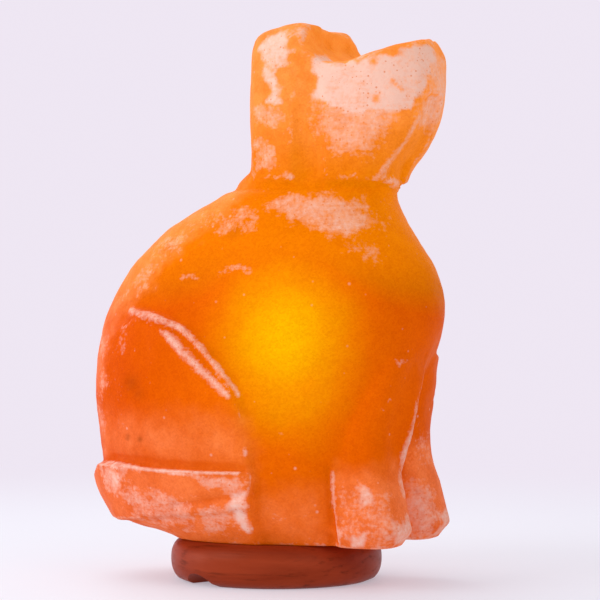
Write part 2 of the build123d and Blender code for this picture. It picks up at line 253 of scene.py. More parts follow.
# %% Floor, backdrop and lights
backdrop_tint = (0.860, 0.795, 0.895)
floor_tint = (0.88, 0.91, 0.98)
floor_radius = 4.0
fade_start, fade_end = 0.18, 0.62          # metres from the lamp
floor_fill = 0.42                          # how much of the backdrop's light softens the shadow
ambient = 0.58
panels = [                                 # name, place, size in metres, power in watts
    ("front_panel", (-0.75, -1.00, 0.70), 0.8, 8.2),
    ("left_panel", (-1.25, -0.50, 0.26), 0.5, 3.0),
    ("fill_panel", (1.15, -0.65, 0.60), 0.7, 2.2),
    ("top_panel", (-0.55, 0.25, 1.20), 0.9, 6.0),
]


def studio_floor():
    bm = bmesh.new()
    bmesh.ops.create_circle(bm, cap_ends=True, segments=96, radius=floor_radius)
    floor = linked("floor", meshed("floor", bm))
    material, shader, place = finish_named("floor_sweep", Roughness=0.55, Base_Color=(*floor_tint, 1))
    tree = shader.id_data
    far = ranged(length_of(place), fade_start, fade_end, floor_fill, curve="SMOOTHSTEP")
    flat = add(tree, "ShaderNodeEmission", {"Color": (*backdrop_tint, 1), "Strength": 1.0})
    blend = add(tree, "ShaderNodeMixShader", {0: far, 1: Wire(shader.outputs[0]), 2: flat})
    plug(tree.nodes["Material Output"].inputs["Surface"], blend)
    paint(floor, material)


def studio_world():
    """Plain white light, which shows as the backdrop's tint to the camera, in reflections and in glass."""
    world = bpy.data.worlds.new("studio")
    bpy.context.scene.world = world
    world.use_nodes = True
    tree = world.node_tree
    seen = add(tree, "ShaderNodeLightPath")
    direct = reckon("MAXIMUM", seen["Is Camera Ray"], seen["Is Glossy Ray"])
    shown = reckon("MAXIMUM", direct, seen["Is Transmission Ray"])
    light = tree.nodes["Background"]
    light.inputs["Color"].default_value = (1, 1, 1, 1)
    light.inputs["Strength"].default_value = ambient
    picture = add(tree, "ShaderNodeBackground", {"Color": (*backdrop_tint, 1), "Strength": 1.0})
    blend = add(tree, "ShaderNodeMixShader", {0: shown, 1: Wire(light.outputs[0]), 2: picture})
    plug(tree.nodes["World Output"].inputs["Surface"], blend)


studio_floor()
studio_world()
for name, place, size, power in panels:
    light = linked(name, bpy.data.lights.new(name, "AREA"))
    light.data.size, light.data.energy = size, power
    aimed(light, place, camera_target)
print("floor, backdrop and", len(panels), "panels")

# %% [markdown]
# ## Turning the faceted salt into carved salt
# The frame holds the cat as broad flat facets. On the real lamp those flats are rubbed smooth, while the
# edges of the tail, thighs, ears and paws stay crisp. The salt is rebuilt as a fine even grid of faces,
# then smoothed everywhere except near the frame's sharp edges, which are found from the angle between
# neighbouring faces.

# %% Rebuild the salt as a fine grid
salt_voxel = 1.18 * mm
sharp_angle = math.radians(27)
crisp_within, smooth_beyond = 1.2 * mm, 6.5 * mm
broad_passes, light_passes, ear_passes, muzzle_passes = 46, 3, 44, 12
muzzle_middle = np.array([27.6, 27.9, 179.0]) * mm
muzzle_full, muzzle_end = 13 * mm, 20 * mm
ears_part, ears_apart = 8 * mm, 18 * mm    # the ear behind these is rubbed more than the one ahead
ears_begin, ears_full = 199 * mm, 210 * mm
marks_turn = math.radians(25)              # of the upright plane that marks are laid out on
turn_cos, turn_sin = math.cos(marks_turn), math.sin(marks_turn)

# The chest runs down onto the right front leg in one slanting ridge: (x, y, height) of a block's corners
chest_ridge = [
    (40, -30, 46), (57, -20, 46), (60, -12, 46), (58, -6, 46), (42, -6, 46),
    (40, -30, 70), (58, -23, 70), (66, -10, 70), (63, -3, 70), (42, -3, 70),
    (42, -30, 92), (60, -22, 92), (66, -10, 92), (66.5, 1, 92), (42, 0, 92),
]
# The edge of each raised thigh shows only along its upper front, and is rubbed away elsewhere
thigh_crest = [(-58, 110), (-42, 101.5), (-34, 94.5), (-26, 86.5), (-17, 77.5)]
thigh_left, thigh_right, thigh_low_end, thigh_high_end = -80, 2, 54, 118
thigh_edge_reach, thigh_depth = 7.0, 15 * mm


def merged_copy(node, name):
    """A copy of a frame node with its loose triangles joined into one surface."""
    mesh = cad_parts[node].data.copy()
    bm = bmesh.new()
    bm.from_mesh(mesh)
    bmesh.ops.remove_doubles(bm, verts=bm.verts, dist=0.002 * mm)
    bm.to_mesh(mesh)
    bm.free()
    return linked(name, mesh)


def apply_modifiers(piece):
    """Turns a piece's modifiers into plain mesh."""
    evaluated = piece.evaluated_get(bpy.context.evaluated_depsgraph_get())
    mesh = bpy.data.meshes.new_from_object(evaluated)
    piece.modifiers.clear()
    piece.data = mesh
    return piece


def join_block(piece, corners):
    """Adds a block with flat sides, given by its corners, which the rebuild then melts into the piece."""
    bm = bmesh.new()
    made = bmesh.ops.convex_hull(bm, input=[bm.verts.new(Vector(corner) * mm) for corner in corners])
    inside = made["geom_interior"] + made["geom_unused"]
    spare = {part for part in inside if isinstance(part, bmesh.types.BMVert)}
    bmesh.ops.delete(bm, geom=list(spare), context="VERTS")
    bmesh.ops.recalc_face_normals(bm, faces=bm.faces)
    block = meshed("block", bm)
    bm = bmesh.new()
    bm.from_mesh(piece.data)
    bm.from_mesh(block)
    bm.to_mesh(piece.data)
    bm.free()
    bpy.data.meshes.remove(block)


def gap_to_line(points, u, v, closed=False):
    """Each place's distance in millimetres from a line of (across, above) points."""
    ends = points + points[:1] if closed else points
    best = np.full(len(u), 1e9)
    for (u0, v0), (u1, v1) in zip(ends, ends[1:]):
        du, dv = u1 - u0, v1 - v0
        t = np.clip(((u - u0) * du + (v - v0) * dv) / (du * du + dv * dv), 0, 1)
        best = np.minimum(best, np.hypot(u - u0 - t * du, v - v0 - t * dv))
    return best


def rubbed_away(points):
    """Which points on the frame's edges lie on the part of a thigh's outline that doesn't show."""
    aside = np.abs(points[:, 1])
    u, v = (points[:, 0] * turn_cos - aside * turn_sin) / mm, points[:, 2] / mm
    on_thigh = (aside >= thigh_depth) & (u > thigh_left) & (u < thigh_right)
    on_thigh &= (v > thigh_low_end) & (v < thigh_high_end)
    return on_thigh & (gap_to_line(thigh_crest, u, v) > thigh_edge_reach)


def sharp_edge_tree(piece):
    """Points along the edges where two faces meet at a sharp angle, for finding the nearest."""
    bm = bmesh.new()
    bm.from_mesh(piece.data)
    points = []
    for edge in bm.edges:
        if len(edge.link_faces) == 2 and edge.calc_face_angle(0.0) > sharp_angle:
            start, end = edge.verts[0].co, edge.verts[1].co
            steps = max(1, int((end - start).length / mm))
            points += [start.lerp(end, i / steps) for i in range(steps + 1)]
    bm.free()
    points = np.array(points)
    points = points[~rubbed_away(points)]
    tree = KDTree(len(points))
    for index, point in enumerate(points):
        tree.insert(point, index)
    tree.balance()
    print("points on sharp edges", len(points))
    return tree


def column(items, name, width, kind=np.float32):
    """One property of every vertex or edge, as a row each."""
    values = np.empty(len(items) * width, kind)
    items.foreach_get(name, values)
    return values.reshape(-1, width)


def normals(mesh):
    return column(mesh.vertex_normals, "vector", 3).astype(float)


def neighbour_mean(values, ends):
    """The mean of each vertex's neighbours, for a column of values or for positions."""
    flat = values.reshape(len(values), -1)
    count = np.bincount(ends.ravel(), minlength=len(values))
    total = np.stack([
        np.bincount(ends[:, 0], row[ends[:, 1]], len(values))
        + np.bincount(ends[:, 1], row[ends[:, 0]], len(values))
        for row in flat.T
    ], 1)
    return (total / count[:, None]).reshape(values.shape)


def smoothstep(low, high, value):
    t = np.clip((value - low) / (high - low), 0, 1)
    return t * t * (3 - 2 * t)


def smoothed(points, ends, passes, weight):
    for _ in range(passes):
        points = points + (neighbour_mean(points, ends) - points) * 0.5 * weight[:, None]
    return points


salt = merged_copy("salt_crystal", "carved_salt")
join_block(salt, chest_ridge)
edges_of_frame = sharp_edge_tree(salt)
rebuild = salt.modifiers.new("rebuild", "REMESH")
rebuild.mode = "VOXEL"
rebuild.voxel_size = salt_voxel
apply_modifiers(salt)
salt_ends = column(salt.data.edges, "vertices", 2, np.int32)
surface = column(salt.data.vertices, "co", 3).astype(float)
from_edge = np.array([edges_of_frame.find(point)[2] for point in surface])
broad = smoothstep(crisp_within, smooth_beyond, from_edge)
surface = smoothed(surface, salt_ends, broad_passes, broad)
surface = smoothed(surface, salt_ends, light_passes, np.ones(len(surface)))
left_ear = 1 - smoothstep(ears_part, ears_apart, surface[:, 0])
ear_tops = smoothstep(ears_begin, ears_full, surface[:, 2]) * (0.3 + 0.7 * left_ear)
surface = smoothed(surface, salt_ends, ear_passes, ear_tops)
from_muzzle = np.linalg.norm(surface - muzzle_middle, axis=1)
surface = smoothed(surface, salt_ends, muzzle_passes, 1 - smoothstep(muzzle_full, muzzle_end, from_muzzle))
print("salt vertices", len(surface), "faces", len(salt.data.polygons))

# %% [markdown]
# ## Laying out the carver's marks
# Marks are placed on an upright plane through the lamp's axis, turned a little from the cat's flank. A
# point on it is written as millimetres across and millimetres above the table. The body's marks are
# mirrored to the far flank, and the far leg and the face have planes of their own. A stroke is a line of
# such points with a width, and it pushes the surface in or out along its own normals. A patch is a
# closed outline with a soft border, and it marks where the salt is pale, from frost and painted highlight,
# or where it is pink.

# %% Helpers for marks
body_top = 158.0                           # below this the marks are the same on both flanks
head_low = 163.0                           # the face's marks lie above this
head_turn, head_middle = math.radians(7), 30 * mm

above = surface[:, 2] / mm
outward = normals(salt.data)
far_flank = (surface[:, 1] > 0) & (above < body_top)
mirrored = np.where(far_flank, -1.0, 1.0)


def turned_plane(side):
    """How far across the turned plane each vertex lies, and how squarely it faces that way."""
    across = (surface[:, 0] * turn_cos + side * surface[:, 1] * turn_sin) / mm
    facing = outward[:, 0] * turn_sin - side * outward[:, 1] * turn_cos
    return across, smoothstep(0.0, 0.3, facing)


# Each side is where its vertices lie across its plane, and how much of each belongs to it
across, mask = turned_plane(mirrored)
both_flanks, near_flank = (across, mask), (across, mask * ~far_flank)
all_round = (across, np.ones(len(surface)))
seen_across, seen_mask = turned_plane(1.0)
far_leg = (seen_across, seen_mask * far_flank)
forward = np.array([-math.sin(head_turn), math.cos(head_turn), 0])
face_across = ((surface[:, 0] - head_middle) * math.cos(head_turn) + surface[:, 1] * math.sin(head_turn)) / mm
face_side = (face_across, smoothstep(0.2, 0.6, outward @ forward) * (above > head_low))


def inside_outline(points, u, v):
    inside = np.zeros(len(u), bool)
    for (u0, v0), (u1, v1) in zip(points, points[1:] + points[:1]):
        if v0 != v1:
            crosses = (v >= min(v0, v1)) & (v < max(v0, v1))
            inside ^= crosses & (u < u0 + (v - v0) * (u1 - u0) / (v1 - v0))
    return inside


def stroke(points, width, where=both_flanks):
    """1 on the line, falling smoothly to 0 over the width."""
    u, side = where
    return np.exp(-((gap_to_line(points, u, above) / width) ** 2)) * side


def patch(points, border, where=both_flanks):
    """1 well inside the outline and 0 outside, with a soft border that wanders as broken salt does."""
    u, v = where[0] + wander[0], above + wander[1]
    gap = gap_to_line(points, u, v, closed=True)
    signed = np.where(inside_outline(points, u, v), gap, -gap)
    return smoothstep(-border, border, signed) * where[1]


def spot(centre, radius, where=near_flank):
    """A soft round spot."""
    u, side = where
    return np.exp(-(((u - centre[0]) ** 2 + (above - centre[1]) ** 2) / radius**2)) * side


print("vertices on the far flank", int(far_flank.sum()))

# %% [markdown]
# ## Carving
# Two ridges run side by side down the thigh, with a groove between them. A ledge runs along the tail. A
# narrow groove goes round the neck, and finer ones part the tail from the hind paw and the front leg
# from the belly. Depths are under two millimetres, so the figure keeps its size. Only the front of the
# neck is raised by more, up to 3.4 mm.

# %% Carve the strokes
thigh_outer = [(-58, 109), (-51.5, 108.5), (-37.5, 103), (-30, 95.5), (-22.5, 87), (-15.5, 77.5)]
thigh_inner = [(-58.5, 110), (-47, 105), (-42.5, 99.5), (-35, 92), (-26.5, 84), (-19, 77.5)]
thigh_groove = [(-52.5, 106.5), (-40, 101.5), (-32.5, 94), (-24.5, 85.5), (-17, 77.5)]
tail_ledge = [(-66, 50.5), (-40, 49.2), (-12.5, 48.2)]
tail_lip = [(-72, 47), (-66, 48), (-50, 46.6), (-37.5, 46.4), (-15, 46.8)]
tail_crease = [(-40.5, 32.5), (-30, 34.3), (-22.5, 36.2), (-15, 37.2)]
leg_groove = [(20.5, 48), (21.3, 32), (23, 20), (24, 17)]
leg_edge = [(22, 47), (22.8, 32), (24.8, 18)]
ridge_line = [(63, 89.5), (57, 71), (51, 55), (49.7, 44), (51, 38)]
jaw_edge = [(38.5, 162), (51, 177.5), (57, 188)]
nose, nose_drop = [(-3.2, 184.6), (5.2, 184.6), (1, 180.2), (-3.2, 184.6)], [(1, 180), (1, 177.2)]
eye_slant = math.radians(12)
neck_groove_height, neck_groove_width, neck_groove_depth = 160.0, 1.7, 1.5
neck_front_middle, neck_front_reach, neck_front_height = (46.0, 161.5), (6.0, 4.5), 3.4
uncarved_radius, uncarved_top = 23.6, 133  # just outside the bore, so its wall and end stay true


def almond(middle, slant, half=7.4, bulge=3.5):
    """The closed outline of an eye, as points on the face."""
    points = []
    for i in range(17):
        angle = 2 * math.pi * i / 16
        x, y = half * math.cos(angle), bulge * math.sin(angle) * abs(math.sin(angle)) ** 0.3
        points.append((middle[0] + x * math.cos(slant) - y * math.sin(slant),
                       middle[1] + x * math.sin(slant) + y * math.cos(slant)))
    return points


push = np.zeros(len(surface))              # millimetres outwards
for height, width, line, side in (
    (1.0, 1.7, thigh_outer, both_flanks), (0.9, 2.2, thigh_inner, both_flanks),
    (-1.3, 1.3, thigh_groove, both_flanks), (0.5, 1.1, tail_lip, near_flank),
    (-1.2, 1.6, tail_ledge, near_flank), (-1.2, 1.7, tail_crease, near_flank),
    (0.6, 1.5, leg_edge, both_flanks), (-1.5, 1.2, leg_groove, both_flanks),
    (0.5, 1.4, ridge_line, near_flank), (0.5, 1.2, jaw_edge, both_flanks),
    (-1.5, 1.2, nose, face_side), (-1.4, 1.1, nose_drop, face_side),
):
    push += height * stroke(line, width, side)
push += 1.6 * spot((1, 183.3), 2.2, face_side)
for side in (-1, 1):
    eye_middle = (1 + 15 * side, 195)
    mouth = [(1, 177.2), (1 + 4 * side, 174.6), (1 + 8 * side, 175.4), (1 + 10 * side, 177.6)]
    push -= 1.9 * stroke(almond(eye_middle, side * eye_slant), 1.3, face_side)
    push += 1.9 * spot(eye_middle, 3.4, face_side)
    push += 0.9 * stroke(almond(eye_middle, side * eye_slant, 9.6, 5.8), 1.3, face_side)
    push -= 1.5 * stroke(mouth, 1.2, face_side)
    for aside, height in ((5.5, 180.2), (8.5, 181.0), (7.0, 178.0)):
        push -= 0.9 * spot((1 + aside * side, height), 1.0, face_side)

ahead = outward[:, 0] * turn_cos + mirrored * outward[:, 1] * turn_sin
neck_front = smoothstep(0.1, 0.7, ahead) * np.exp(
    -(((across - neck_front_middle[0]) / neck_front_reach[0]) ** 2)
    - ((above - neck_front_middle[1]) / neck_front_reach[1]) ** 2)
push += neck_front_height * neck_front
from_axis = np.hypot(surface[:, 0], surface[:, 1]) / mm
outer_skin = smoothstep(uncarved_radius, uncarved_radius + 1, from_axis + 100 * (above > uncarved_top))
neck_groove = np.exp(-(((above - neck_groove_height) / neck_groove_width) ** 2))
push -= neck_groove_depth * neck_groove * outer_skin * (1 - neck_front)
print("deepest mark", round(float(-push.min()), 2), "mm, highest", round(float(push.max()), 2), "mm")

# %% [markdown]
# ## Hand-worked unevenness
# No two flats on hand-carved salt are quite true. A sum of sine waves in three directions gives broad,
# gentle swells, and a second set a few millimetres long gives the marks of a rasp. Near the crisp edges
# the salt chips, which is a deeper bite where another wave happens to be high. The bore is left true.

# %% Waves and chips
rng = np.random.default_rng(7)


def waves(wavelength, count=14):
    """Smooth random swell between about -1 and 1, for each vertex."""
    total = np.zeros(len(surface))
    for _ in range(count):
        direction = rng.normal(size=3)
        direction *= 2 * math.pi / (wavelength * mm) / np.linalg.norm(direction)
        total += np.sin(surface @ direction + rng.uniform(0, 2 * math.pi))
    return total / math.sqrt(count)


edge_band = np.exp(-((from_edge / (2.4 * mm)) ** 2))
chip_field = waves(7.5) + 0.6 * waves(3.6)
chips = edge_band * smoothstep(1.0, 2.0, chip_field)
push += (0.30 * waves(34) + 0.10 * waves(11) + 0.04 * waves(4.5) - 0.7 * chips - 0.15) * outer_skin
foot_clear = smoothstep(17.2, 18.6, above)  # the face that stands on the disc stays flat
surface = surface + normals(salt.data) * (push * mm * foot_clear)[:, None]
surface = np.clip(surface, *np.array(cad_box))
salt.data.vertices.foreach_set("co", surface.ravel())
salt.data.update()
salt.data.shade_smooth()
print("chipped share of the surface", round(float((chips > 0.3).mean()), 4))

# %% [markdown]
# ## Masks for the salt's colour
# Freshly cut or knocked salt is pale and frosted, while rubbed salt is clear and lets the lamp's orange
# through. Much of the pale is painted highlight as well: where flats and crisp edges face the lights, and a
# rim along the back. Ridges and creases are found by comparing each vertex with the mean of its neighbours,
# and the creases carry painted shade. The pale patches are laid out from listed outlines. These are stored
# on the mesh as named values that the material reads.

# %% Frost, creases and pits
wander = [1.1 * waves(12) + 0.8 * waves(4.6) for _ in range(2)]
thigh_pale = [(-43, 102), (-39, 101), (-34, 93), (-36, 91.5)]
belly_low = [(-8, 38), (18, 40), (20, 18), (-8, 18)]
far_paw = [(52, 44), (62, 40), (67, 28), (66, 18), (53, 18)]
# Pale patches: partly frosted salt, and in large part painted highlight where flats face the lights
frost_and_highlight_patches = [                          # strength, border, side, outline
    # The back of the head, a painted highlight from the light above, and its lower edge where the highlight fades
    (0.95, 1.6, both_flanks, [
        (16, 214), (19, 213.5), (23.6, 209), (32.6, 208.6), (48, 213), (60.7, 216.8), (64, 215.3), (62.3, 207),
        (60, 200.4), (57.3, 194.7), (52.9, 188), (41.5, 189.1), (33, 188), (24.6, 191.3), (15.7, 194.7),
        (14.6, 206)]),
    (0.54, 7.0, both_flanks, [(15, 196), (50, 196), (46, 180), (36, 170), (24, 172), (14, 182)]),
    # The left ear, from its top down to the cheek, and the right ear's edge: painted highlight on their lit sides,
    # with some frost
    (0.85, 2.4, both_flanks, [
        (-6.2, 220.5), (3.5, 220.5), (5.3, 216), (4.8, 208), (0, 206.5), (-4.5, 207.5), (-7, 214)]),
    (0.86, 2.0, both_flanks, [(-5, 207), (-0.6, 207), (1.7, 192.4), (-2.8, 192.4)]),
    (0.50, 2.2, both_flanks, [(-10, 191.5), (1, 191), (1.5, 186), (-2, 184), (-10, 186)]),
    (0.50, 3.5, both_flanks, [(-9.5, 178), (-3, 180), (0, 174), (-1, 166), (-9.5, 166)]),
    (0.68, 4.0, both_flanks, [(58, 213), (69, 212), (70, 195), (62, 178), (57, 184), (60, 198)]),
    # The shoulders and the back: painted highlight on faces turned up to the light, with some frost
    (0.58, 4.5, both_flanks, [(-4, 156), (30, 156.5), (38, 153), (36, 143), (25, 138.5), (12, 144), (0, 148)]),
    (0.36, 4.0, both_flanks, [(-27, 150), (-4, 153), (-8, 142), (-24, 139)]),
    (0.24, 5.0, both_flanks, [(28, 156), (41, 156), (50, 146), (45, 138), (36, 143)]),
    (0.36, 5.0, both_flanks, [(25, 140), (38, 138), (42, 131), (34, 129), (26, 133)]),
    (0.38, 5.0, both_flanks, [(-62, 118), (-44, 140), (-22, 152), (-26, 145), (-46, 130), (-58, 112)]),
    # The thighs, belly and near front leg
    (0.55, 2.5, both_flanks, thigh_pale),
    (0.10, 7.0, both_flanks, belly_low),
    (0.32, 5.0, both_flanks, [(23, 45), (38, 43), (48, 34), (50, 18), (24, 18)]),
    (0.72, 3.5, both_flanks, [(32, 42), (38, 42), (40, 34), (33, 33)]),
    (0.80, 2.5, both_flanks, [(28, 23), (36, 25), (36, 17), (28, 17)]),
    (0.72, 2.5, both_flanks, [(45, 29), (53.5, 29), (53, 18), (45, 18)]),
    # The tail and the hind paw
    (0.62, 4.0, near_flank, [(-71.5, 46), (-63, 46), (-61, 40), (-66, 35), (-71, 38)]),
    (0.60, 3.5, near_flank, [(-34, 46), (-15, 46), (-14, 41), (-22, 38), (-31, 40)]),
    (0.52, 5.0, near_flank, [(-69, 41), (-46, 38), (-30, 34), (-34, 22), (-56, 25)]),
    (0.85, 2.4, near_flank, [(-19, 38.5), (-11, 41), (-10.5, 21), (-15, 21), (-18, 26)]),
    (0.50, 3.5, near_flank, [(-32, 32), (-20, 34), (-18, 21), (-29, 21)]),
    # The far front leg
    (0.62, 6.0, far_leg, far_paw),
    (0.30, 3.0, far_leg, [(56, 66), (62, 64), (65, 46), (56, 46)]),
    # The face: brow, cheeks and the cups of the ears
    (0.62, 4.0, face_side, [
        (-13, 206), (-4, 208), (12, 207), (17, 201), (8, 198), (1, 190), (-6, 198), (-15, 201)]),
    (0.46, 6.0, face_side, [(-32, 190), (-16, 189), (-13, 178), (-24, 170), (-32, 178)]),
    (0.46, 6.0, face_side, [(16, 189), (32, 191), (28, 177), (16, 171)]),
    (0.60, 2.5, face_side, [(-32, 205), (-28, 219), (-15, 218), (-14, 208)]),
    (0.60, 2.5, face_side, [(18, 206.5), (32, 212.5), (35, 204)]),
]
# Pale lines along crisp edges: painted edge highlight, partly frosted salt. The short line at (66, 186.7) is a
# painted highlight on the head's right rim.
frost_and_highlight_strokes = [                          # strength, width, side, line
    (0.70, 1.5, both_flanks, thigh_outer), (0.70, 1.9, both_flanks, thigh_inner),
    (0.55, 1.6, both_flanks, [(66, 186.7), (68, 194.7)]), (0.60, 1.1, both_flanks, leg_edge),
    (0.55, 1.3, both_flanks, jaw_edge), (0.85, 1.0, near_flank, tail_lip), (0.70, 1.8, near_flank, ridge_line),
    (0.45, 1.4, near_flank, [(-38, 123.3), (-35.5, 124.3), (-32.5, 123.6)]),
    (0.42, 1.6, near_flank, [(-23, 125), (-19, 127), (-15, 128.2), (-10.5, 126.3)]),
]
clear_spots = [(0.8, 1.7, (38.3, 209.0)), (0.9, 1.6, (39.3, 194.3))]
head_scratch = [(45.5, 201.5), (49.5, 197.5)]
stains = [                                 # strength, radius, centre
    (0.35, 3.0, (-42.5, 136)), (0.2, 3.5, (-17, 142.5)), (0.34, 3.2, (-58.5, 81)),
    (0.24, 2.6, (-55.5, 77)), (0.6, 0.9, (-60, 59)), (0.6, 1.1, (-54.8, 58.6)),
]
pink_patches = [
    (0.60, 10.0, both_flanks, [(-84, 66), (-16, 66), (-12, 50), (-84, 50)]),     # low on the thigh
    (0.62, 5.0, both_flanks, [(-84, 48), (-10, 48), (-10, 12), (-84, 12)]),      # round the tail
    (0.72, 7.0, both_flanks, [(24, 46), (74, 50), (74, 12), (24, 12)]),          # the front leg
    (0.45, 7.0, both_flanks, belly_low),
    (0.70, 4.0, all_round, [(-80, 78), (-80, 110), (-60, 135), (-30, 160), (-12, 162), (-14, 155),
                            (-28, 144), (-45, 131), (-59, 113), (-69, 101), (-71.5, 78)]),    # along the back
    (0.85, 6.0, far_leg, [(50, 56), (78, 56), (78, 12), (50, 12)]),
]


def strongest(made, rows, start=0.0):
    """The strongest of a table of patches, strokes or spots at each vertex."""
    best = start + np.zeros(len(surface))
    for strength, reach, *side, shape in rows:
        best = np.maximum(best, strength * made(shape, reach, *side))
    return best


# Frost and painted highlight together, from the pale patches and the pale edge lines
frost_and_highlight = strongest(stroke, frost_and_highlight_strokes, strongest(patch, frost_and_highlight_patches))
for strength, radius, centre in clear_spots:
    frost_and_highlight *= 1 - strength * spot(centre, radius)
frost_and_highlight *= 1 - 0.6 * stroke(head_scratch, 0.7)
# Painted highlight: a pale rim on faces turned to the back, 40 to 140 mm up, where the left lights graze the salt
painted_rim_highlight = smoothstep(0.5, 1.0, -ahead) * smoothstep(40, 70, above) * (1 - smoothstep(96, 140, above))
frost_and_highlight = np.maximum(frost_and_highlight, painted_rim_highlight * (0.26 + 0.10 * waves(16)))
frost_and_highlight *= 1 - 0.7 * stroke(thigh_groove, 0.9)
stain = strongest(spot, stains)
pink = strongest(patch, pink_patches, 0.85 * smoothstep(156, 206, above))

bend = ((surface - neighbour_mean(surface, salt_ends)) * normals(salt.data)).sum(1) / mm
for _ in range(3):
    bend = neighbour_mean(bend, salt_ends)
# Ridges take frost and painted edge highlight; creases are darkened in the material as painted shade
ridge, crease_shade = smoothstep(0.012, 0.07, bend), smoothstep(0.012, 0.07, -bend)
masks = {
    "frost_and_highlight": np.clip(frost_and_highlight, 0, 1), "ridge": ridge * (1 - neck_groove * 0.5), "crease_shade": crease_shade,
    "stain": stain, "pink": pink,
}
for name, values in masks.items():
    layer = salt.data.attributes.new(name, "FLOAT", "POINT")
    layer.data.foreach_set("value", values.astype(np.float32))
print("frosted share", round(float((frost_and_highlight > 0.4).mean()), 3))


# %% [markdown]
# ## Shared surface effects
# Several finishes need the same few effects, so each is built once as a group of shader nodes with named
# inputs, and is then placed in a material with its own values.

# %% Shader node groups
def group(name, output, **numbers):
    """A shader group that reads a place and some numbers. Gives it, its inputs and its one output."""
    tree = bpy.data.node_groups.new(name, "ShaderNodeTree")
    tree.interface.new_socket("Place", in_out="INPUT", socket_type="NodeSocketVector")
    for socket, value in numbers.items():
        tree.interface.new_socket(socket, in_out="INPUT", socket_type="NodeSocketFloat").default_value = value
    tree.interface.new_socket(output, in_out="OUTPUT", socket_type="NodeSocketFloat")
    return tree, Wire(tree.nodes.new("NodeGroupInput").outputs[0]), tree.nodes.new("NodeGroupOutput").inputs[0]


def pattern(tree, given, kind, **settings):
    """A texture node that reads the group's place and scale."""
    return add(tree, "ShaderNodeTex" + kind, {"Vector": given["Place"], "Scale": given["Scale"], **settings})


def cloudy_group():
    """Soft clouds of two sizes, from 0 to 1."""
    tree, given, result = group("clouds", "Clouds", Scale=40.0, Contrast=1.0)
    noise = pattern(tree, given, "Noise", Detail=4.0, Roughness=0.55)
    plug(result, reckon("ADD", (noise - 0.5) * given["Contrast"], 0.5, clamp=True))
    return tree


def pits_group():
    """Small scattered pits: 1 in a pit and 0 elsewhere."""
    tree, given, result = group("pits", "Pits", Scale=500.0, Size=0.25)
    cells = pattern(tree, given, "Voronoi", Randomness=1.0)
    reach = add(tree, "ShaderNodeSeparateColor", {"Color": cells["Color"]}) * given["Size"]
    plug(result, reckon("MULTIPLY", reach - cells["Distance"], 9.0, clamp=True))
    return tree


def drawn_lines_group():
    """Fine lines drawn out along one direction, from 0 to 1. The place is squeezed before it comes in."""
    tree, given, result = group("drawn_lines", "Lines", Scale=100.0)
    plug(result, pattern(tree, given, "Noise", Detail=3.0, Roughness=0.6))
    return tree


def crystals_group():
    """Packed crystal grains, each with its own tone from 0 to 1."""
    tree, given, result = group("crystals", "Tone", Scale=400.0)
    grains = pattern(tree, given, "Voronoi")
    plug(result, add(tree, "ShaderNodeSeparateColor", {"Color": grains["Color"]}))
    return tree


def effect(made, place, **numbers):
    """Places a group in the tree that the place comes from."""
    return add(tree_of(place), "ShaderNodeGroup", {"Place": place, **numbers}, node_tree=made)


clouds, pits, drawn_lines, crystals = cloudy_group(), pits_group(), drawn_lines_group(), crystals_group()
print("shader groups", [made.name for made in (clouds, pits, drawn_lines, crystals)])

# %% [markdown]
# ## The salt's finish
# Two things colour the salt. White light falling on it comes back orange where it is clear and pale pink
# where it is frosted, and the same pale pink is painted on as highlight where flats and edges face the
# lights, while creases are darkened as painted shade. The bulb's light comes through from inside,
# brightest and yellowest where the wall is thin, beside the bulb, and redder where more salt is in the
# way. The second part is an emission that fades with the distance from the glow's middle, measured
# mostly along the turned plane of the marks.

# %% Salt material
glow_centre = (3.3, 0.0, 101.0)            # mm, across, deep and above, on the turned plane of the marks
depth_squeeze, low_squeeze, high_squeeze = 0.12, 0.70, 0.74
glow_reach, glow_wander = 100.0, 8.0       # mm
glow_colours = [
    (0.00, (0.53, 0.465, 0.000)), (0.08, (0.53, 0.410, 0.000)), (0.16, (0.50, 0.285, 0.000)),
    (0.24, (0.44, 0.180, 0.000)), (0.32, (0.37, 0.098, 0.000)), (0.42, (0.31, 0.068, 0.000)),
    (0.62, (0.27, 0.046, 0.000)), (1.00, (0.20, 0.020, 0.000)),
]
upper_glow = (0.44, 0.158, 0.000)          # the shoulders, neck and head are thinner, so they glow more
upper_glow_from, upper_glow_to = 90.0, 138.0
clear_salt, deep_salt = (0.52, 0.060, 0.001), (0.42, 0.032, 0.000)
# The pale tint is both frosted salt and painted highlight
pink_salt, frost_and_highlight_tint = (0.64, 0.150, 0.055), (0.82, 0.515, 0.430)
stain_tint, black, white = (0.16, 0.018, 0.002), (0.0, 0.0, 0.0), (1.0, 1.0, 1.0)
grain_tones = [(0.15, (0.93, 0.88, 0.87)), (0.5, white), (0.85, (1.05, 1.12, 1.14))]
# How far the pale frost and painted highlight hide the glow
frost_and_highlight_hide_glow = 0.75
grazing_bloom = 0.12                       # the powdery edge that carved salt has seen along its surface


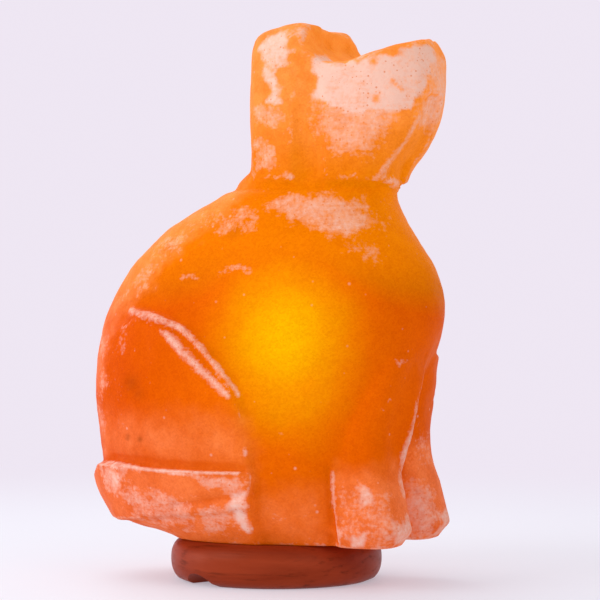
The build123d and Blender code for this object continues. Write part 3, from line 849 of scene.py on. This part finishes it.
def salt_finish():
    material, shader, place = finish_named(
        "rock_salt", IOR=1.45, Specular_IOR_Level=0.012, Coat_Weight=0.0, Subsurface_Weight=0.0,
        Emission_Strength=1.0, Sheen_Weight=grazing_bloom, Sheen_Roughness=0.35,
        Sheen_Tint=(1.0, 0.42, 0.10, 1.0), Specular_Tint=(1.0, 0.45, 0.06, 1.0),
    )
    tree = shader.id_data
    veins = effect(clouds, place, Scale=26.0, Contrast=2.2)
    mottle = effect(clouds, place, Scale=120.0, Contrast=2.0)
    fine = effect(clouds, place, Scale=620.0, Contrast=2.6)
    lines = effect(drawn_lines, squeezed(place, (0.12, 0.12, 1.0)), Scale=900.0)
    flecks = effect(pits, place, Scale=150.0, Size=0.13)
    speckle = effect(pits, place, Scale=640.0, Size=0.34)
    coarse, sparkle = effect(crystals, place, Scale=330.0), effect(crystals, place, Scale=1500.0)
    mask = {name: add(tree, "ShaderNodeAttribute", attribute_name=name)["Fac"] for name in masks}

    # The bulb's light through the salt
    turned = add(tree, "ShaderNodeMapping", {"Vector": place, "Rotation": (0.0, 0.0, -marks_turn)})
    parts = add(tree, "ShaderNodeSeparateXYZ", {0: turned})
    sideways, deep, rise = (parts[axis] - middle * mm for axis, middle in zip("XYZ", glow_centre))
    along_z = reckon("MAXIMUM", rise, 0.0) * high_squeeze + reckon("MINIMUM", rise, 0.0) * low_squeeze
    from_middle = add(tree, "ShaderNodeCombineXYZ", {"X": sideways, "Y": deep * depth_squeeze, "Z": along_z})
    reach = (length_of(from_middle) + (veins - 0.5) * (glow_wander * mm)) / (glow_reach * mm)
    core = ramp(reach, glow_colours, "CARDINAL")
    thin = ranged(parts["Z"], upper_glow_from * mm, upper_glow_to * mm, curve="SMOOTHSTEP")
    glow = mixed(1.0, core, mixed(thin, black, upper_glow), "LIGHTEN")

    # Frost and painted highlight from the masks and from the ridges, which are worn and also take painted edge
    # highlight, ragged at its borders
    ragged = (fine - 0.5) * 0.30 + ((mottle - 0.5) * 0.30 + (lines - 0.5) * 0.35)
    frost_and_highlight_level = reckon("MAXIMUM", mask["frost_and_highlight"], mask["ridge"] * (mottle * 0.75)) + ragged
    pale_frost_and_highlight = reckon("MAXIMUM", ranged(frost_and_highlight_level, 0.25, 0.98), flecks * 0.5)

    # The salt's own colour, darkened in creases as painted shade and paled by frost and painted highlight, with
    # the tone of its crystals over everything
    pinkness = reckon("MULTIPLY", mask["pink"], mottle + 0.55, clamp=True)
    colour = mixed(pinkness, mixed(veins, deep_salt, clear_salt), pink_salt)
    # Painted shade: creases are darkened towards the deep salt colour
    colour = mixed(mask["crease_shade"] * 0.55, colour, deep_salt)
    colour = mixed(mask["stain"], colour, stain_tint)
    # Pale frost and painted highlight laid over the colour
    colour = mixed(pale_frost_and_highlight, colour, mixed(speckle * 0.7, frost_and_highlight_tint, pink_salt))
    tone = sparkle * 0.55 + (coarse * 0.2 + mottle * 0.25)
    grain = mixed(pale_frost_and_highlight * 0.7, ramp(tone, grain_tones), white)
    hidden = reckon("MAXIMUM", pale_frost_and_highlight * frost_and_highlight_hide_glow, mask["stain"] * 0.6)
    surfaced(
        shader, fine * 0.7 + lines * 0.5 - speckle * 0.5, 0.14, 0.2,
        Base_Color=mixed(1.0, colour, grain, "MULTIPLY"), Roughness=ranged(pale_frost_and_highlight, 0.0, 1.0, 0.36, 0.66),
        Emission_Color=mixed(hidden, mixed(1.0, glow, grain, "MULTIPLY"), black),
    )
    return material


paint(salt, salt_finish())
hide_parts("salt_crystal")
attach(salt, "lamp_body")
print("salt material nodes", len(salt.active_material.node_tree.nodes))

# %% [markdown]
# ## The turned wooden disc
# A wood turner shapes the disc's rim as one rounded curve. Here the same curve is drawn as a profile and
# spun about the axis, and the holder's hole, the three counterbores and the cord's arched groove are
# then cut out of it, as they are on the real disc.

# %% Disc
disc_low, disc_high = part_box("wooden_base")
disc_radius, disc_height = disc_high.x, disc_high.z
disc_foot, disc_top = 37.6 * mm, 38.0 * mm
disc_widest = 9.0 * mm
rim_fullness = 2.3                         # 2 is an ellipse, and more is squarer
hole_radius = 19.5 * mm
groove_width, groove_height = 17.0 * mm, 5.0 * mm
groove_bearing = math.radians(-115)
screw_circle, screw_total = 28.5 * mm, 3
screw_first = groove_bearing + math.pi / screw_total
counterbore_radius, counterbore_depth, screw_clearance = 4.6 * mm, 6.0 * mm, 1.85 * mm


def spun(name, profile, segments=128, ripple=None):
    """A closed solid turned about Z from (radius, height) points, whose radius may ripple as it turns."""
    bm = bmesh.new()
    rings = []
    for radius, height in profile:
        ring = []
        for angle in (2 * math.pi * i / segments for i in range(segments)):
            here = ripple(angle, radius, height) if ripple else radius
            ring.append(bm.verts.new((here * math.cos(angle), here * math.sin(angle), height)))
        rings.append(ring)
    for ring, following in zip(rings, rings[1:] + rings[:1]):
        for i in range(segments):
            k = (i + 1) % segments
            bm.faces.new((ring[i], ring[k], following[k], following[i]))
    bmesh.ops.remove_doubles(bm, verts=bm.verts, dist=0.002 * mm)
    bmesh.ops.dissolve_degenerate(bm, dist=0.001 * mm, edges=bm.edges)
    bmesh.ops.recalc_face_normals(bm, faces=bm.faces)
    return linked(name, meshed(name, bm))


def rounded(corners, steps=5):
    """An outline from (radius, height, rounding) corners in millimetres, each one turned into a small arc."""
    points = []
    for i, (radius, height, rounding) in enumerate(corners):
        here = Vector((radius, height)) * mm
        if not rounding:
            points.append(tuple(here))
            continue
        before = Vector(corners[i - 1][:2]) * mm - here
        after = Vector(corners[(i + 1) % len(corners)][:2]) * mm - here
        reach = min(rounding * mm, before.length * 0.45, after.length * 0.45)
        start, end = here + before.normalized() * reach, here + after.normalized() * reach
        for k in range(steps + 1):
            t = k / steps
            points.append(tuple((1 - t) ** 2 * start + 2 * t * (1 - t) * here + t * t * end))
    return points


def cut(piece, *cutters):
    """Cuts each cutter out of a piece, and removes the cutter."""
    for cutter in cutters:
        modifier = piece.modifiers.new("cut", "BOOLEAN")
        modifier.operation, modifier.solver = "DIFFERENCE", "EXACT"
        modifier.object = cutter
        apply_modifiers(piece)
        bpy.data.objects.remove(cutter)
    return piece


def moved(piece, *matrices):
    for matrix in matrices:
        piece.data.transform(matrix)
    return piece


def shaded(piece, angle=32):
    """Smooth shading that stays sharp across edges steeper than the angle, in degrees."""
    piece.data.shade_smooth()
    piece.data.set_sharp_from_angle(angle=math.radians(angle))
    return piece


def rim_profile(steps=14):
    """The rounded rim from foot to top, then the hole's wall."""
    points = []
    for i in range(steps + 1):
        height = i / steps * disc_height
        low_part = height < disc_widest
        span, edge = (disc_widest, disc_foot) if low_part else (disc_height - disc_widest, disc_top)
        from_widest = abs(disc_widest - height) / span
        bulge = math.sqrt(max(0.0, 1 - from_widest**rim_fullness))
        points.append((edge + (disc_radius - edge) * bulge, height))
    return points + [(hole_radius, disc_height), (hole_radius, 0)]


disc = spun("turned_disc", rim_profile(), 160)
arch = (groove_width**2 / 4 + groove_height**2) / (2 * groove_height)
groove = spun("groove_cutter", [(0, 0), (arch, 0), (arch, 2 * disc_radius), (0, 2 * disc_radius)], 96)
cutters = [moved(groove, Matrix.Rotation(math.radians(90), 4, "Y"),
                 Matrix.Translation((0, 0, groove_height - arch)), Matrix.Rotation(groove_bearing, 4, "Z"))]
counterbore = [(0, -mm), (counterbore_radius, -mm), (counterbore_radius, counterbore_depth),
               (screw_clearance, counterbore_depth), (screw_clearance, disc_height + mm), (0, disc_height + mm)]
for i in range(screw_total):
    bearing = screw_first + 2 * math.pi * i / screw_total
    place = (screw_circle * math.cos(bearing), screw_circle * math.sin(bearing), 0)
    cutters.append(moved(spun("counterbore_cutter", counterbore, 40), Matrix.Translation(place)))
cut(disc, *cutters)
shaded(disc)
print("disc faces", len(disc.data.polygons), "widest radius mm", round(disc_radius / mm, 1))

# %% [markdown]
# ## Stained and varnished wood
# The grain runs through the disc in one direction, so it shows as long lines round the rim, and the lathe
# leaves finer ones that go all the way round. A thin coat of varnish softens the highlight.

# %% Wood material
wood_light, wood_dark, wood_pore = (0.335, 0.044, 0.014), (0.200, 0.020, 0.005), (0.080, 0.009, 0.002)


def wood_finish():
    material, shader, place = finish_named(
        "turned_wood", IOR=1.5, Specular_IOR_Level=0.10, Coat_Weight=0.03, Coat_Roughness=0.25,
        Specular_Tint=(1.0, 0.5, 0.3, 1.0),
    )
    along = squeezed(place, (0.05, 0.35, 1.0))
    grain = effect(drawn_lines, along, Scale=520.0)
    bands = effect(clouds, along, Scale=150.0, Contrast=2.4)
    lathe = effect(drawn_lines, squeezed(place, (0.03, 0.03, 1.0)), Scale=2400.0)
    streak = ranged(grain, 0.56, 0.72)
    surfaced(
        shader, lathe * 0.4 - streak * 0.5, 0.35, 0.15, Roughness=ranged(grain, 0.3, 0.7, 0.34, 0.48),
        Base_Color=mixed(streak * 0.6, mixed(bands, wood_dark, wood_light), wood_pore),
    )
    return material


paint(disc, wood_finish())
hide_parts("wooden_base")
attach(disc, "lamp_body")
print("wood material nodes", len(disc.active_material.node_tree.nodes))


# %% [markdown]
# ## Copies made by Geometry Nodes
# Screws, plugs and terminals repeat round the axis. One of each is modelled, and a small node tree sets
# the copies round the ring. The same kind of tree bends the bulb's lead wires and winds its filament, so
# the number of turns or the bend can be changed in one place.

# %% Node trees for copies, wires and coils
def geometry_tree(name, **inputs):
    """A geometry tree with named inputs between its geometry and its material. Gives it and its inputs."""
    tree = bpy.data.node_groups.new(name, "GeometryNodeTree")
    tree.interface.new_socket("Geometry", in_out="INPUT", socket_type="NodeSocketGeometry")
    tree.interface.new_socket("Geometry", in_out="OUTPUT", socket_type="NodeSocketGeometry")
    for socket, kind in {**inputs, "Material": "Material"}.items():
        tree.interface.new_socket(socket.replace("_", " "), in_out="INPUT", socket_type="NodeSocket" + kind)
    return tree, Wire(tree.nodes.new("NodeGroupInput").outputs[0])


def close_tree(tree, given, geometry):
    """Ends a tree: copies are made real and get their material."""
    real = add(tree, "GeometryNodeRealizeInstances", {"Geometry": geometry})
    painted = add(tree, "GeometryNodeSetMaterial", {"Geometry": real, "Material": given["Material"]})
    plug(tree.nodes.new("NodeGroupOutput").inputs["Geometry"], painted)
    return tree


def ring_tree():
    """Copies of the incoming piece, turned about Z by equal steps."""
    tree, given = geometry_tree("ring_of_copies", Count="Int", First_bearing="Float")
    points = add(tree, "GeometryNodePoints", {"Count": given["Count"]})
    index = add(tree, "GeometryNodeInputIndex")
    turn = index * reckon("DIVIDE", 2 * math.pi, given["Count"]) + given["First bearing"]
    rotation = add(tree, "FunctionNodeEulerToRotation", {0: add(tree, "ShaderNodeCombineXYZ", {"Z": turn})})
    copies = add(tree, "GeometryNodeInstanceOnPoints", {
        "Points": points, "Instance": given["Geometry"], "Rotation": rotation,
    })
    return close_tree(tree, given, copies)


def swept(curve, radius):
    """A round wire along a curve."""
    tree = tree_of(curve)
    outline = add(tree, "GeometryNodeCurvePrimitiveCircle", {"Resolution": 12, "Radius": radius})
    return add(tree, "GeometryNodeCurveToMesh", {"Curve": curve, "Profile Curve": outline, "Fill Caps": True})


def bent_wire_tree():
    """A wire bent in one smooth curve from Start to End, pulled towards Middle, and its twin opposite."""
    tree, given = geometry_tree("bent_wire_pair", Start="Vector", Middle="Vector", End="Vector", Radius="Float")
    ends = {name: given[name] for name in ("Start", "Middle", "End")}
    wire = swept(add(tree, "GeometryNodeCurveQuadraticBezier", {"Resolution": 24, **ends}), given["Radius"])
    twin = add(tree, "GeometryNodeTransform", {"Geometry": wire, "Rotation": (0.0, 0.0, math.pi)})
    both = add(tree, "GeometryNodeJoinGeometry")
    for part in (wire, twin):
        plug(both.socket.node.inputs[0], part)
    return close_tree(tree, given, both)


def coil_tree():
    """A wire wound round a straight line along Y."""
    tree, given = geometry_tree(
        "wound_coil", Turns="Float", Length="Float", Coil_radius="Float", Wire_radius="Float", Height="Float",
    )
    spiral = add(tree, "GeometryNodeCurveSpiral", {
        "Resolution": 14, "Rotations": given["Turns"], "Start Radius": given["Coil radius"],
        "End Radius": given["Coil radius"], "Height": given["Length"],
    })
    place = add(tree, "ShaderNodeCombineXYZ", {"Y": given["Length"] * 0.5, "Z": given["Height"]})
    laid = add(tree, "GeometryNodeTransform", {
        "Geometry": swept(spiral, given["Wire radius"]), "Translation": place, "Rotation": (math.pi / 2, 0.0, 0.0),
    })
    return close_tree(tree, given, laid)


def grown(piece, tree, **values):
    """Runs a tree on a piece and keeps the plain mesh it makes."""
    modifier = piece.modifiers.new(tree.name, "NODES")
    modifier.node_group = tree
    wanted = {name.replace("_", " "): value for name, value in values.items()}
    for socket in tree.interface.items_tree:
        if socket.in_out == "INPUT" and socket.name in wanted:
            modifier[socket.identifier] = wanted[socket.name]
    return apply_modifiers(piece)


def ringed(piece, radius, total, first, material):
    """Copies of a piece that stands on the axis, set round a ring."""
    moved(piece, Matrix.Translation((radius, 0, 0)))
    return grown(piece, ring_of_copies, Count=total, First_bearing=first, Material=material)


ring_of_copies, bent_wire_pair, wound_coil = ring_tree(), bent_wire_tree(), coil_tree()
print("node trees", ring_of_copies.name, bent_wire_pair.name, wound_coil.name)


# %% [markdown]
# ## Finishes for the fittings
# Metal shows the direction it was rolled or drawn in, as fine lines in its roughness, and clouds of
# tarnish in its colour. Moulded plastic has a faint grain. Ceramic has soft waves under a clear glaze.

# %% Fitting materials
def metal_finish(name, bright, dull, rough, squeeze=(1.0, 1.0, 0.08), scale=1400.0):
    material, shader, place = finish_named(name, Metallic=1.0)
    lines = effect(drawn_lines, squeezed(place, squeeze), Scale=scale)
    tarnish = effect(clouds, place, Scale=210.0, Contrast=2.4)
    specks = effect(pits, place, Scale=700.0, Size=0.3)
    surfaced(shader, lines - specks * 0.6, 0.25, 0.03,
             Base_Color=mixed(specks * 0.5, mixed(tarnish, bright, dull), dull),
             Roughness=ranged(lines * 0.6 + tarnish * 0.4, 0.25, 0.75, *rough))
    return material


def moulded_finish(name, tint, shade, rough, coat=0.0):
    material, shader, place = finish_named(name, IOR=1.5, Coat_Weight=coat, Coat_Roughness=0.12)
    flow = effect(clouds, place, Scale=90.0, Contrast=1.8)
    grain = effect(clouds, place, Scale=1900.0, Contrast=1.6)
    specks = effect(pits, place, Scale=900.0, Size=0.22)
    surfaced(shader, grain - specks * 0.7, 0.3, 0.03, Base_Color=mixed(flow, tint, shade),
             Roughness=ranged((flow + grain) * 0.5, 0.2, 0.8, *rough))
    return material


def glass_finish(name, tint, shade):
    material, shader, place = finish_named(name, IOR=1.47, Roughness=0.02, Transmission_Weight=1.0)
    swirl = effect(clouds, place, Scale=60.0, Contrast=1.6)
    surfaced(shader, swirl, 0.15, 0.1, Base_Color=mixed(swirl, tint, shade))
    return material


def filament_finish():
    """Tungsten that is hottest in the middle of its length and cooler where the wires hold it."""
    material, shader, place = finish_named("hot_filament", Metallic=1.0, Roughness=0.5, Emission_Strength=5.0)
    along = add(shader.id_data, "ShaderNodeSeparateXYZ", {0: place})["Y"]
    cool = reckon("ABSOLUTE", along) / filament_half
    hot = ramp(cool, [(0.0, (1.0, 0.62, 0.22)), (0.7, (1.0, 0.45, 0.10)), (1.0, (0.55, 0.10, 0.01))])
    grain = effect(clouds, place, Scale=2600.0, Contrast=2.0)
    surfaced(shader, grain, 0.2, 0.01, Emission_Color=hot,
             Base_Color=mixed(grain, (0.55, 0.50, 0.45), (0.35, 0.30, 0.26)))
    return material


filament_half = 5.5 * mm
zinc_steel = metal_finish("zinc_steel", (0.62, 0.62, 0.60), (0.42, 0.43, 0.44), (0.26, 0.48))
brass = metal_finish("brass", (0.78, 0.58, 0.25), (0.52, 0.34, 0.12), (0.22, 0.45))
spring_steel = metal_finish("spring_steel", (0.66, 0.66, 0.66), (0.46, 0.46, 0.48), (0.20, 0.40), (0.1, 0.1, 1.0))
solder = metal_finish("solder", (0.55, 0.55, 0.56), (0.38, 0.38, 0.40), (0.30, 0.55), (1.0, 1.0, 1.0), 900.0)
nickel_brass = metal_finish("nickel_brass", (0.72, 0.70, 0.64), (0.52, 0.48, 0.40), (0.20, 0.40))
nickel_wire = metal_finish("nickel_wire", (0.60, 0.60, 0.58), (0.42, 0.42, 0.42), (0.28, 0.50))
black_phenolic = moulded_finish("black_phenolic", (0.020, 0.019, 0.018), (0.034, 0.031, 0.029), (0.30, 0.46), 0.25)
grey_nylon = moulded_finish("grey_nylon", (0.170, 0.170, 0.178), (0.220, 0.220, 0.226), (0.52, 0.70))
white_ceramic = moulded_finish("white_ceramic", (0.72, 0.68, 0.58), (0.62, 0.57, 0.47), (0.34, 0.50), 0.7)
black_glass = moulded_finish("black_glass", (0.010, 0.010, 0.013), (0.018, 0.017, 0.022), (0.08, 0.20), 0.5)
clear_glass = glass_finish("clear_glass", (1.0, 0.985, 0.96), (0.97, 0.95, 0.90))
stem_glass = glass_finish("stem_glass", (0.95, 0.95, 0.93), (0.88, 0.89, 0.86))
hot_filament = filament_finish()


def dressed(piece, node, body, material, angle=32):
    """Puts a finished piece in a frame node's place with the given material, hides the node and attaches the piece
    to its body.
    """
    paint(shaded(piece, angle), material)
    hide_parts(node)
    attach(piece, body)
    print(node, "faces", len(piece.data.polygons))


print("finishes", len(bpy.data.materials))


# %% [markdown]
# ## The screws under the disc and their plugs
# Each screw is turned from one outline. Its thread is a real ridge, made by letting the radius rise and
# fall with the angle and height together. The cross recess in its head is cut out. A plug has rings that
# grip the salt.

# %% Screws and plugs
def window(value, low, high, soft):
    """1 between low and high, falling smoothly to 0 beyond them."""
    return float(smoothstep(low - soft, low + soft, value) * (1 - smoothstep(high - soft, high + soft, value)))


def rippled(wave, depth, low, high, least_radius, soft=1.0):
    """Lets a wall follow a wave of its angle and height, inwards between two heights in millimetres."""
    def ripple(angle, radius, height):
        if radius < least_radius * mm:
            return radius
        return radius - depth * mm * wave(angle, height / mm) * window(height / mm, low, high, soft)
    return ripple


def thread(pitch):
    """The wave of a right-hand thread."""
    return lambda angle, height: 0.5 - 0.5 * math.cos(2 * math.pi * height / pitch - angle)


def wall(radius, low, high, step):
    """Points straight up a wall, close enough together for a ripple to show."""
    count = max(1, round((high - low) / step))
    return [(radius, low + (high - low) * i / count, 0) for i in range(count + 1)]


def box_piece(name, size, centre):
    bm = bmesh.new()
    bmesh.ops.create_cube(bm, size=1.0)
    fit = Matrix.Translation(Vector(centre) * mm) @ Matrix.Diagonal((*(Vector(size) * mm), 1))
    return moved(linked(name, meshed(name, bm)), fit)


def bevelled(piece, width):
    bevel = piece.modifiers.new("bevel", "BEVEL")
    bevel.width, bevel.segments = width * mm, 2
    bevel.limit_method, bevel.angle_limit = "ANGLE", math.radians(40)
    bevel.use_clamp_overlap = True
    return apply_modifiers(piece)


screw_outline = rounded([(0, 3.6, 0), (2.6, 3.6, 0.7), (3.6, 4.6, 0.6), (3.6, 6.0, 0.15)]
                        + wall(1.75, 6.0, 32.2, 0.28) + [(0.15, 34.6, 0), (0, 34.6, 0)])
screw = spun("base_screw_set", screw_outline, 36, rippled(thread(1.3), 0.42, 8.0, 32.0, 1.6))
cut(screw, box_piece("recess", (4.2, 0.9, 1.5), (0, 0, 4.1)), box_piece("recess", (0.9, 4.2, 1.5), (0, 0, 4.1)))
ringed(screw, screw_circle, screw_total, screw_first, zinc_steel)
dressed(screw, "base_screws", "lamp_body", zinc_steel)

plug_outline = rounded([(1.85, 17.0, 0)] + wall(3.0, 17.0, 41.0, 0.2) + [(1.85, 41.0, 0)])
plug_rings = rippled(lambda angle, height: (height / 1.6) % 1.0, 0.32, 19.0, 39.0, 2.9, 0.6)
screw_plug = spun("screw_plug_set", plug_outline, 36, plug_rings)
ringed(screw_plug, screw_circle, screw_total, screw_first, grey_nylon)
dressed(screw_plug, "screw_plugs", "lamp_body", grey_nylon)

# %% [markdown]
# ## The lamp holder
# The holder is moulded in two halves that screw together, so a fine line shows between them, and the
# upper half has flutes for gripping it. The metal shell inside is rolled with the bulb's own thread, which
# is 2.82 mm a turn.

# %% Holder
bulb_thread = thread(2.82)
flute_total = 40
flutes = rippled(lambda angle, height: 0.5 - 0.5 * math.cos(flute_total * angle), 0.35, 29.0, 49.0, 13.9)
terminal_ring = 6.2 * mm

cover_outline = rounded([(3.6, 10, 0.4), (14, 10, 1.6), (14, 24, 0.35), (10.4, 24, 0.2),
                         (10.4, 11.8, 0.8), (3.6, 11.8, 0.3)])
dressed(spun("holder_lower_half", cover_outline), "holder_cover", "holder", black_phenolic)
shell_outline = rounded([(12.2, 24, 0.2), (14, 24, 0.35)] + wall(14, 26, 52, 0.65)
                        + [(14, 64, 1.3), (7.8, 64, 0.5), (7.8, 62.2, 0.2), (12.2, 62.2, 0.6)])
dressed(spun("holder_upper_half", shell_outline, 320, flutes), "holder_shell", "holder", black_phenolic)
insulator_outline = rounded([(1, 24, 0.2), (12.1, 24, 0.5), (12.1, 27.4, 0.2), (11.5, 27.8, 0.2),
                             (11.5, 28.8, 0.2), (12.1, 29.2, 0.2), (12.1, 33, 0.5), (1, 33, 0.2)])
dressed(spun("holder_block", insulator_outline), "holder_insulator", "holder", white_ceramic)
rolled_outline = rounded(wall(7.7, 33, 58, 0.3) + wall(7.35, 33, 58, 0.3)[::-1])
rolled = spun("holder_thread", rolled_outline, 96, rippled(bulb_thread, -0.35, 35.5, 56.0, 7.0))
dressed(rolled, "holder_screw_shell", "holder", brass, 60)
for name, node, width, material in (
    ("holder_contact", "holder_centre_contact", 0.12, brass), ("holder_clip", "spring_clip", 0.15, spring_steel),
):
    dressed(bevelled(merged_copy(node, name), width), node, "holder", material)

terminal = bevelled(box_piece("terminal_blocks", (4.6, 4.6, 6.0), (0, 0, 21)), 0.35)
bore, side_bore = (
    spun("bore", [(r * mm, z * mm) for r, z in ((0, low), (radius, low), (radius, high), (0, high))], 32)
    for radius, low, high in ((1.4, 17, 25), (1.0, 0.8, 4))
)
moved(side_bore, Matrix.Translation((0, 0, 20.2 * mm)) @ Matrix.Rotation(math.pi / 2, 4, "X"))
cut(terminal, bore, side_bore)
ringed(terminal, terminal_ring, 2, 0.0, brass)
dressed(terminal, "holder_terminals", "holder", brass)

clamp_outline = rounded([(0, 16.8, 0), (2.1, 16.8, 0.35), (2.1, 18, 0.1)] + wall(1.3, 18, 23.9, 0.18)
                        + [(0, 23.9, 0)])
clamp = spun("terminal_screw_pair", clamp_outline, 36, rippled(thread(0.8), 0.22, 18.6, 23.6, 1.2, 0.3))
cut(clamp, box_piece("slot", (5, 0.6, 1.0), (0, 0, 16.9)))
ringed(clamp, terminal_ring, 2, 0.0, zinc_steel)
dressed(clamp, "terminal_screws", "holder", zinc_steel)

# %% [markdown]
# ## The bulb
# The glass is one smooth outline spun round, with a wall of 0.8 mm inside it. Its stem carries two bent
# wires, and the filament is a real coil between them. The cap has the thread rolled inwards, and a drop
# of solder closes the tip.

# %% Bulb
glass_wall = 0.8
glass_points = [(2.5, 50.7), (5.3, 50.7), (5.9, 51.4), (5.95, 56), (6.3, 59.5), (6.9, 63), (9.2, 68.5),
                (11.6, 73.5), (12.8, 79.5), (13, 86), (12.8, 93), (11.6, 99.5), (9.2, 104.3), (5.6, 107.3),
                (0, 108.3)]


def smooth_line(points, steps=6):
    """A smooth line through points, ending square to the axis."""
    ends = [np.array(p, float) for p in [points[0], *points, (-points[-2][0], points[-2][1])]]
    line = []
    for a, b, c, d in zip(ends, ends[1:], ends[2:], ends[3:]):
        for t in np.arange(steps) / steps:
            line.append(0.5 * (2 * b + (c - a) * t + (2 * a - 5 * b + 4 * c - d) * t**2
                               + (3 * b - a - 3 * c + d) * t**3))
    return np.array(line + [ends[-2]])


def walled(line, thickness):
    """A closed outline: the line, and back along it inside by the wall's thickness."""
    run = np.gradient(line, axis=0)
    run /= np.linalg.norm(run, axis=1)[:, None]
    inner = line + np.stack([-run[:, 1], run[:, 0]], 1) * thickness
    inner[:, 0] = np.clip(inner[:, 0], 0, None)
    inner[0] = (line[0][0], line[0][1] + thickness)
    inner[-1] = (0, line[-1][1] - thickness)
    keep = [p for p in inner[1:-1] if p[0] > 0.3 and p[1] > line[0][1] + thickness * 0.98]
    return [tuple(p * mm) for p in [*line, inner[-1], *reversed(keep), inner[0]]]


envelope = spun("bulb_envelope", walled(smooth_line(glass_points), glass_wall), 96)
dressed(envelope, "bulb_glass", "bulb", clear_glass, 50)
stem_outline = rounded([(0, 50.7, 0), (2.4, 50.7, 0.2), (2.4, 52, 0.8), (1.7, 54, 1.5), (1.5, 60, 2), (1.9, 63, 1),
                        (2.2, 65.2, 0.8), (1.6, 66.7, 0.5), (0, 66.7, 0)])
dressed(spun("bulb_pinch", stem_outline, 64), "bulb_stem", "bulb", stem_glass)
cap_outline = rounded([(4.0, 38.7, 0.1), (5.7, 38.7, 0.5), (7.0, 40.0, 0.6)] + wall(7.0, 40.6, 57.6, 0.28)
                      + [(7.0, 58.7, 0.12), (6.7, 58.7, 0.1)] + wall(6.7, 40.8, 57.6, 0.28)[::-1]
                      + [(5.6, 39.1, 0.5), (4.0, 39.1, 0.1)])
cap = spun("bulb_screw_cap", cap_outline, 96, rippled(bulb_thread, 0.5, 41.5, 54.5, 6.6))
dressed(cap, "bulb_cap", "bulb", nickel_brass, 60)
collar_outline = rounded([(0, 35.7, 0), (2.7, 35.7, 0.3), (4.6, 38.0, 0.5), (4.6, 38.7, 0.1), (0, 38.7, 0)])
dressed(spun("bulb_black_ring", collar_outline, 72), "bulb_cap_insulator", "bulb", black_glass)
drop_outline = rounded([(0, 34.3, 0), (1.3, 34.3, 0.8), (2.3, 35.1, 0.5), (2.3, 35.7, 0.05), (0, 35.7, 0)])
dressed(spun("bulb_solder_drop", drop_outline, 56), "bulb_contact", "bulb_slide", solder)

wires = grown(
    linked("bulb_wire_pair", bpy.data.meshes.new("bulb_wire_pair")), bent_wire_pair, Radius=0.4 * mm,
    Start=Vector((0, 1.4, 66.8)) * mm, Middle=Vector((0, 2.7, 76.8)) * mm, End=Vector((0, 5.45, 85.35)) * mm,
    Material=nickel_wire,
)
dressed(wires, "bulb_lead_wires", "bulb", nickel_wire)
coil = grown(
    linked("bulb_filament_coil", bpy.data.meshes.new("bulb_filament_coil")), wound_coil, Turns=26.0,
    Length=2 * filament_half, Coil_radius=0.42 * mm, Wire_radius=0.075 * mm, Height=86.3 * mm,
    Material=hot_filament,
)
dressed(coil, "bulb_filament", "bulb", hot_filament, 60)
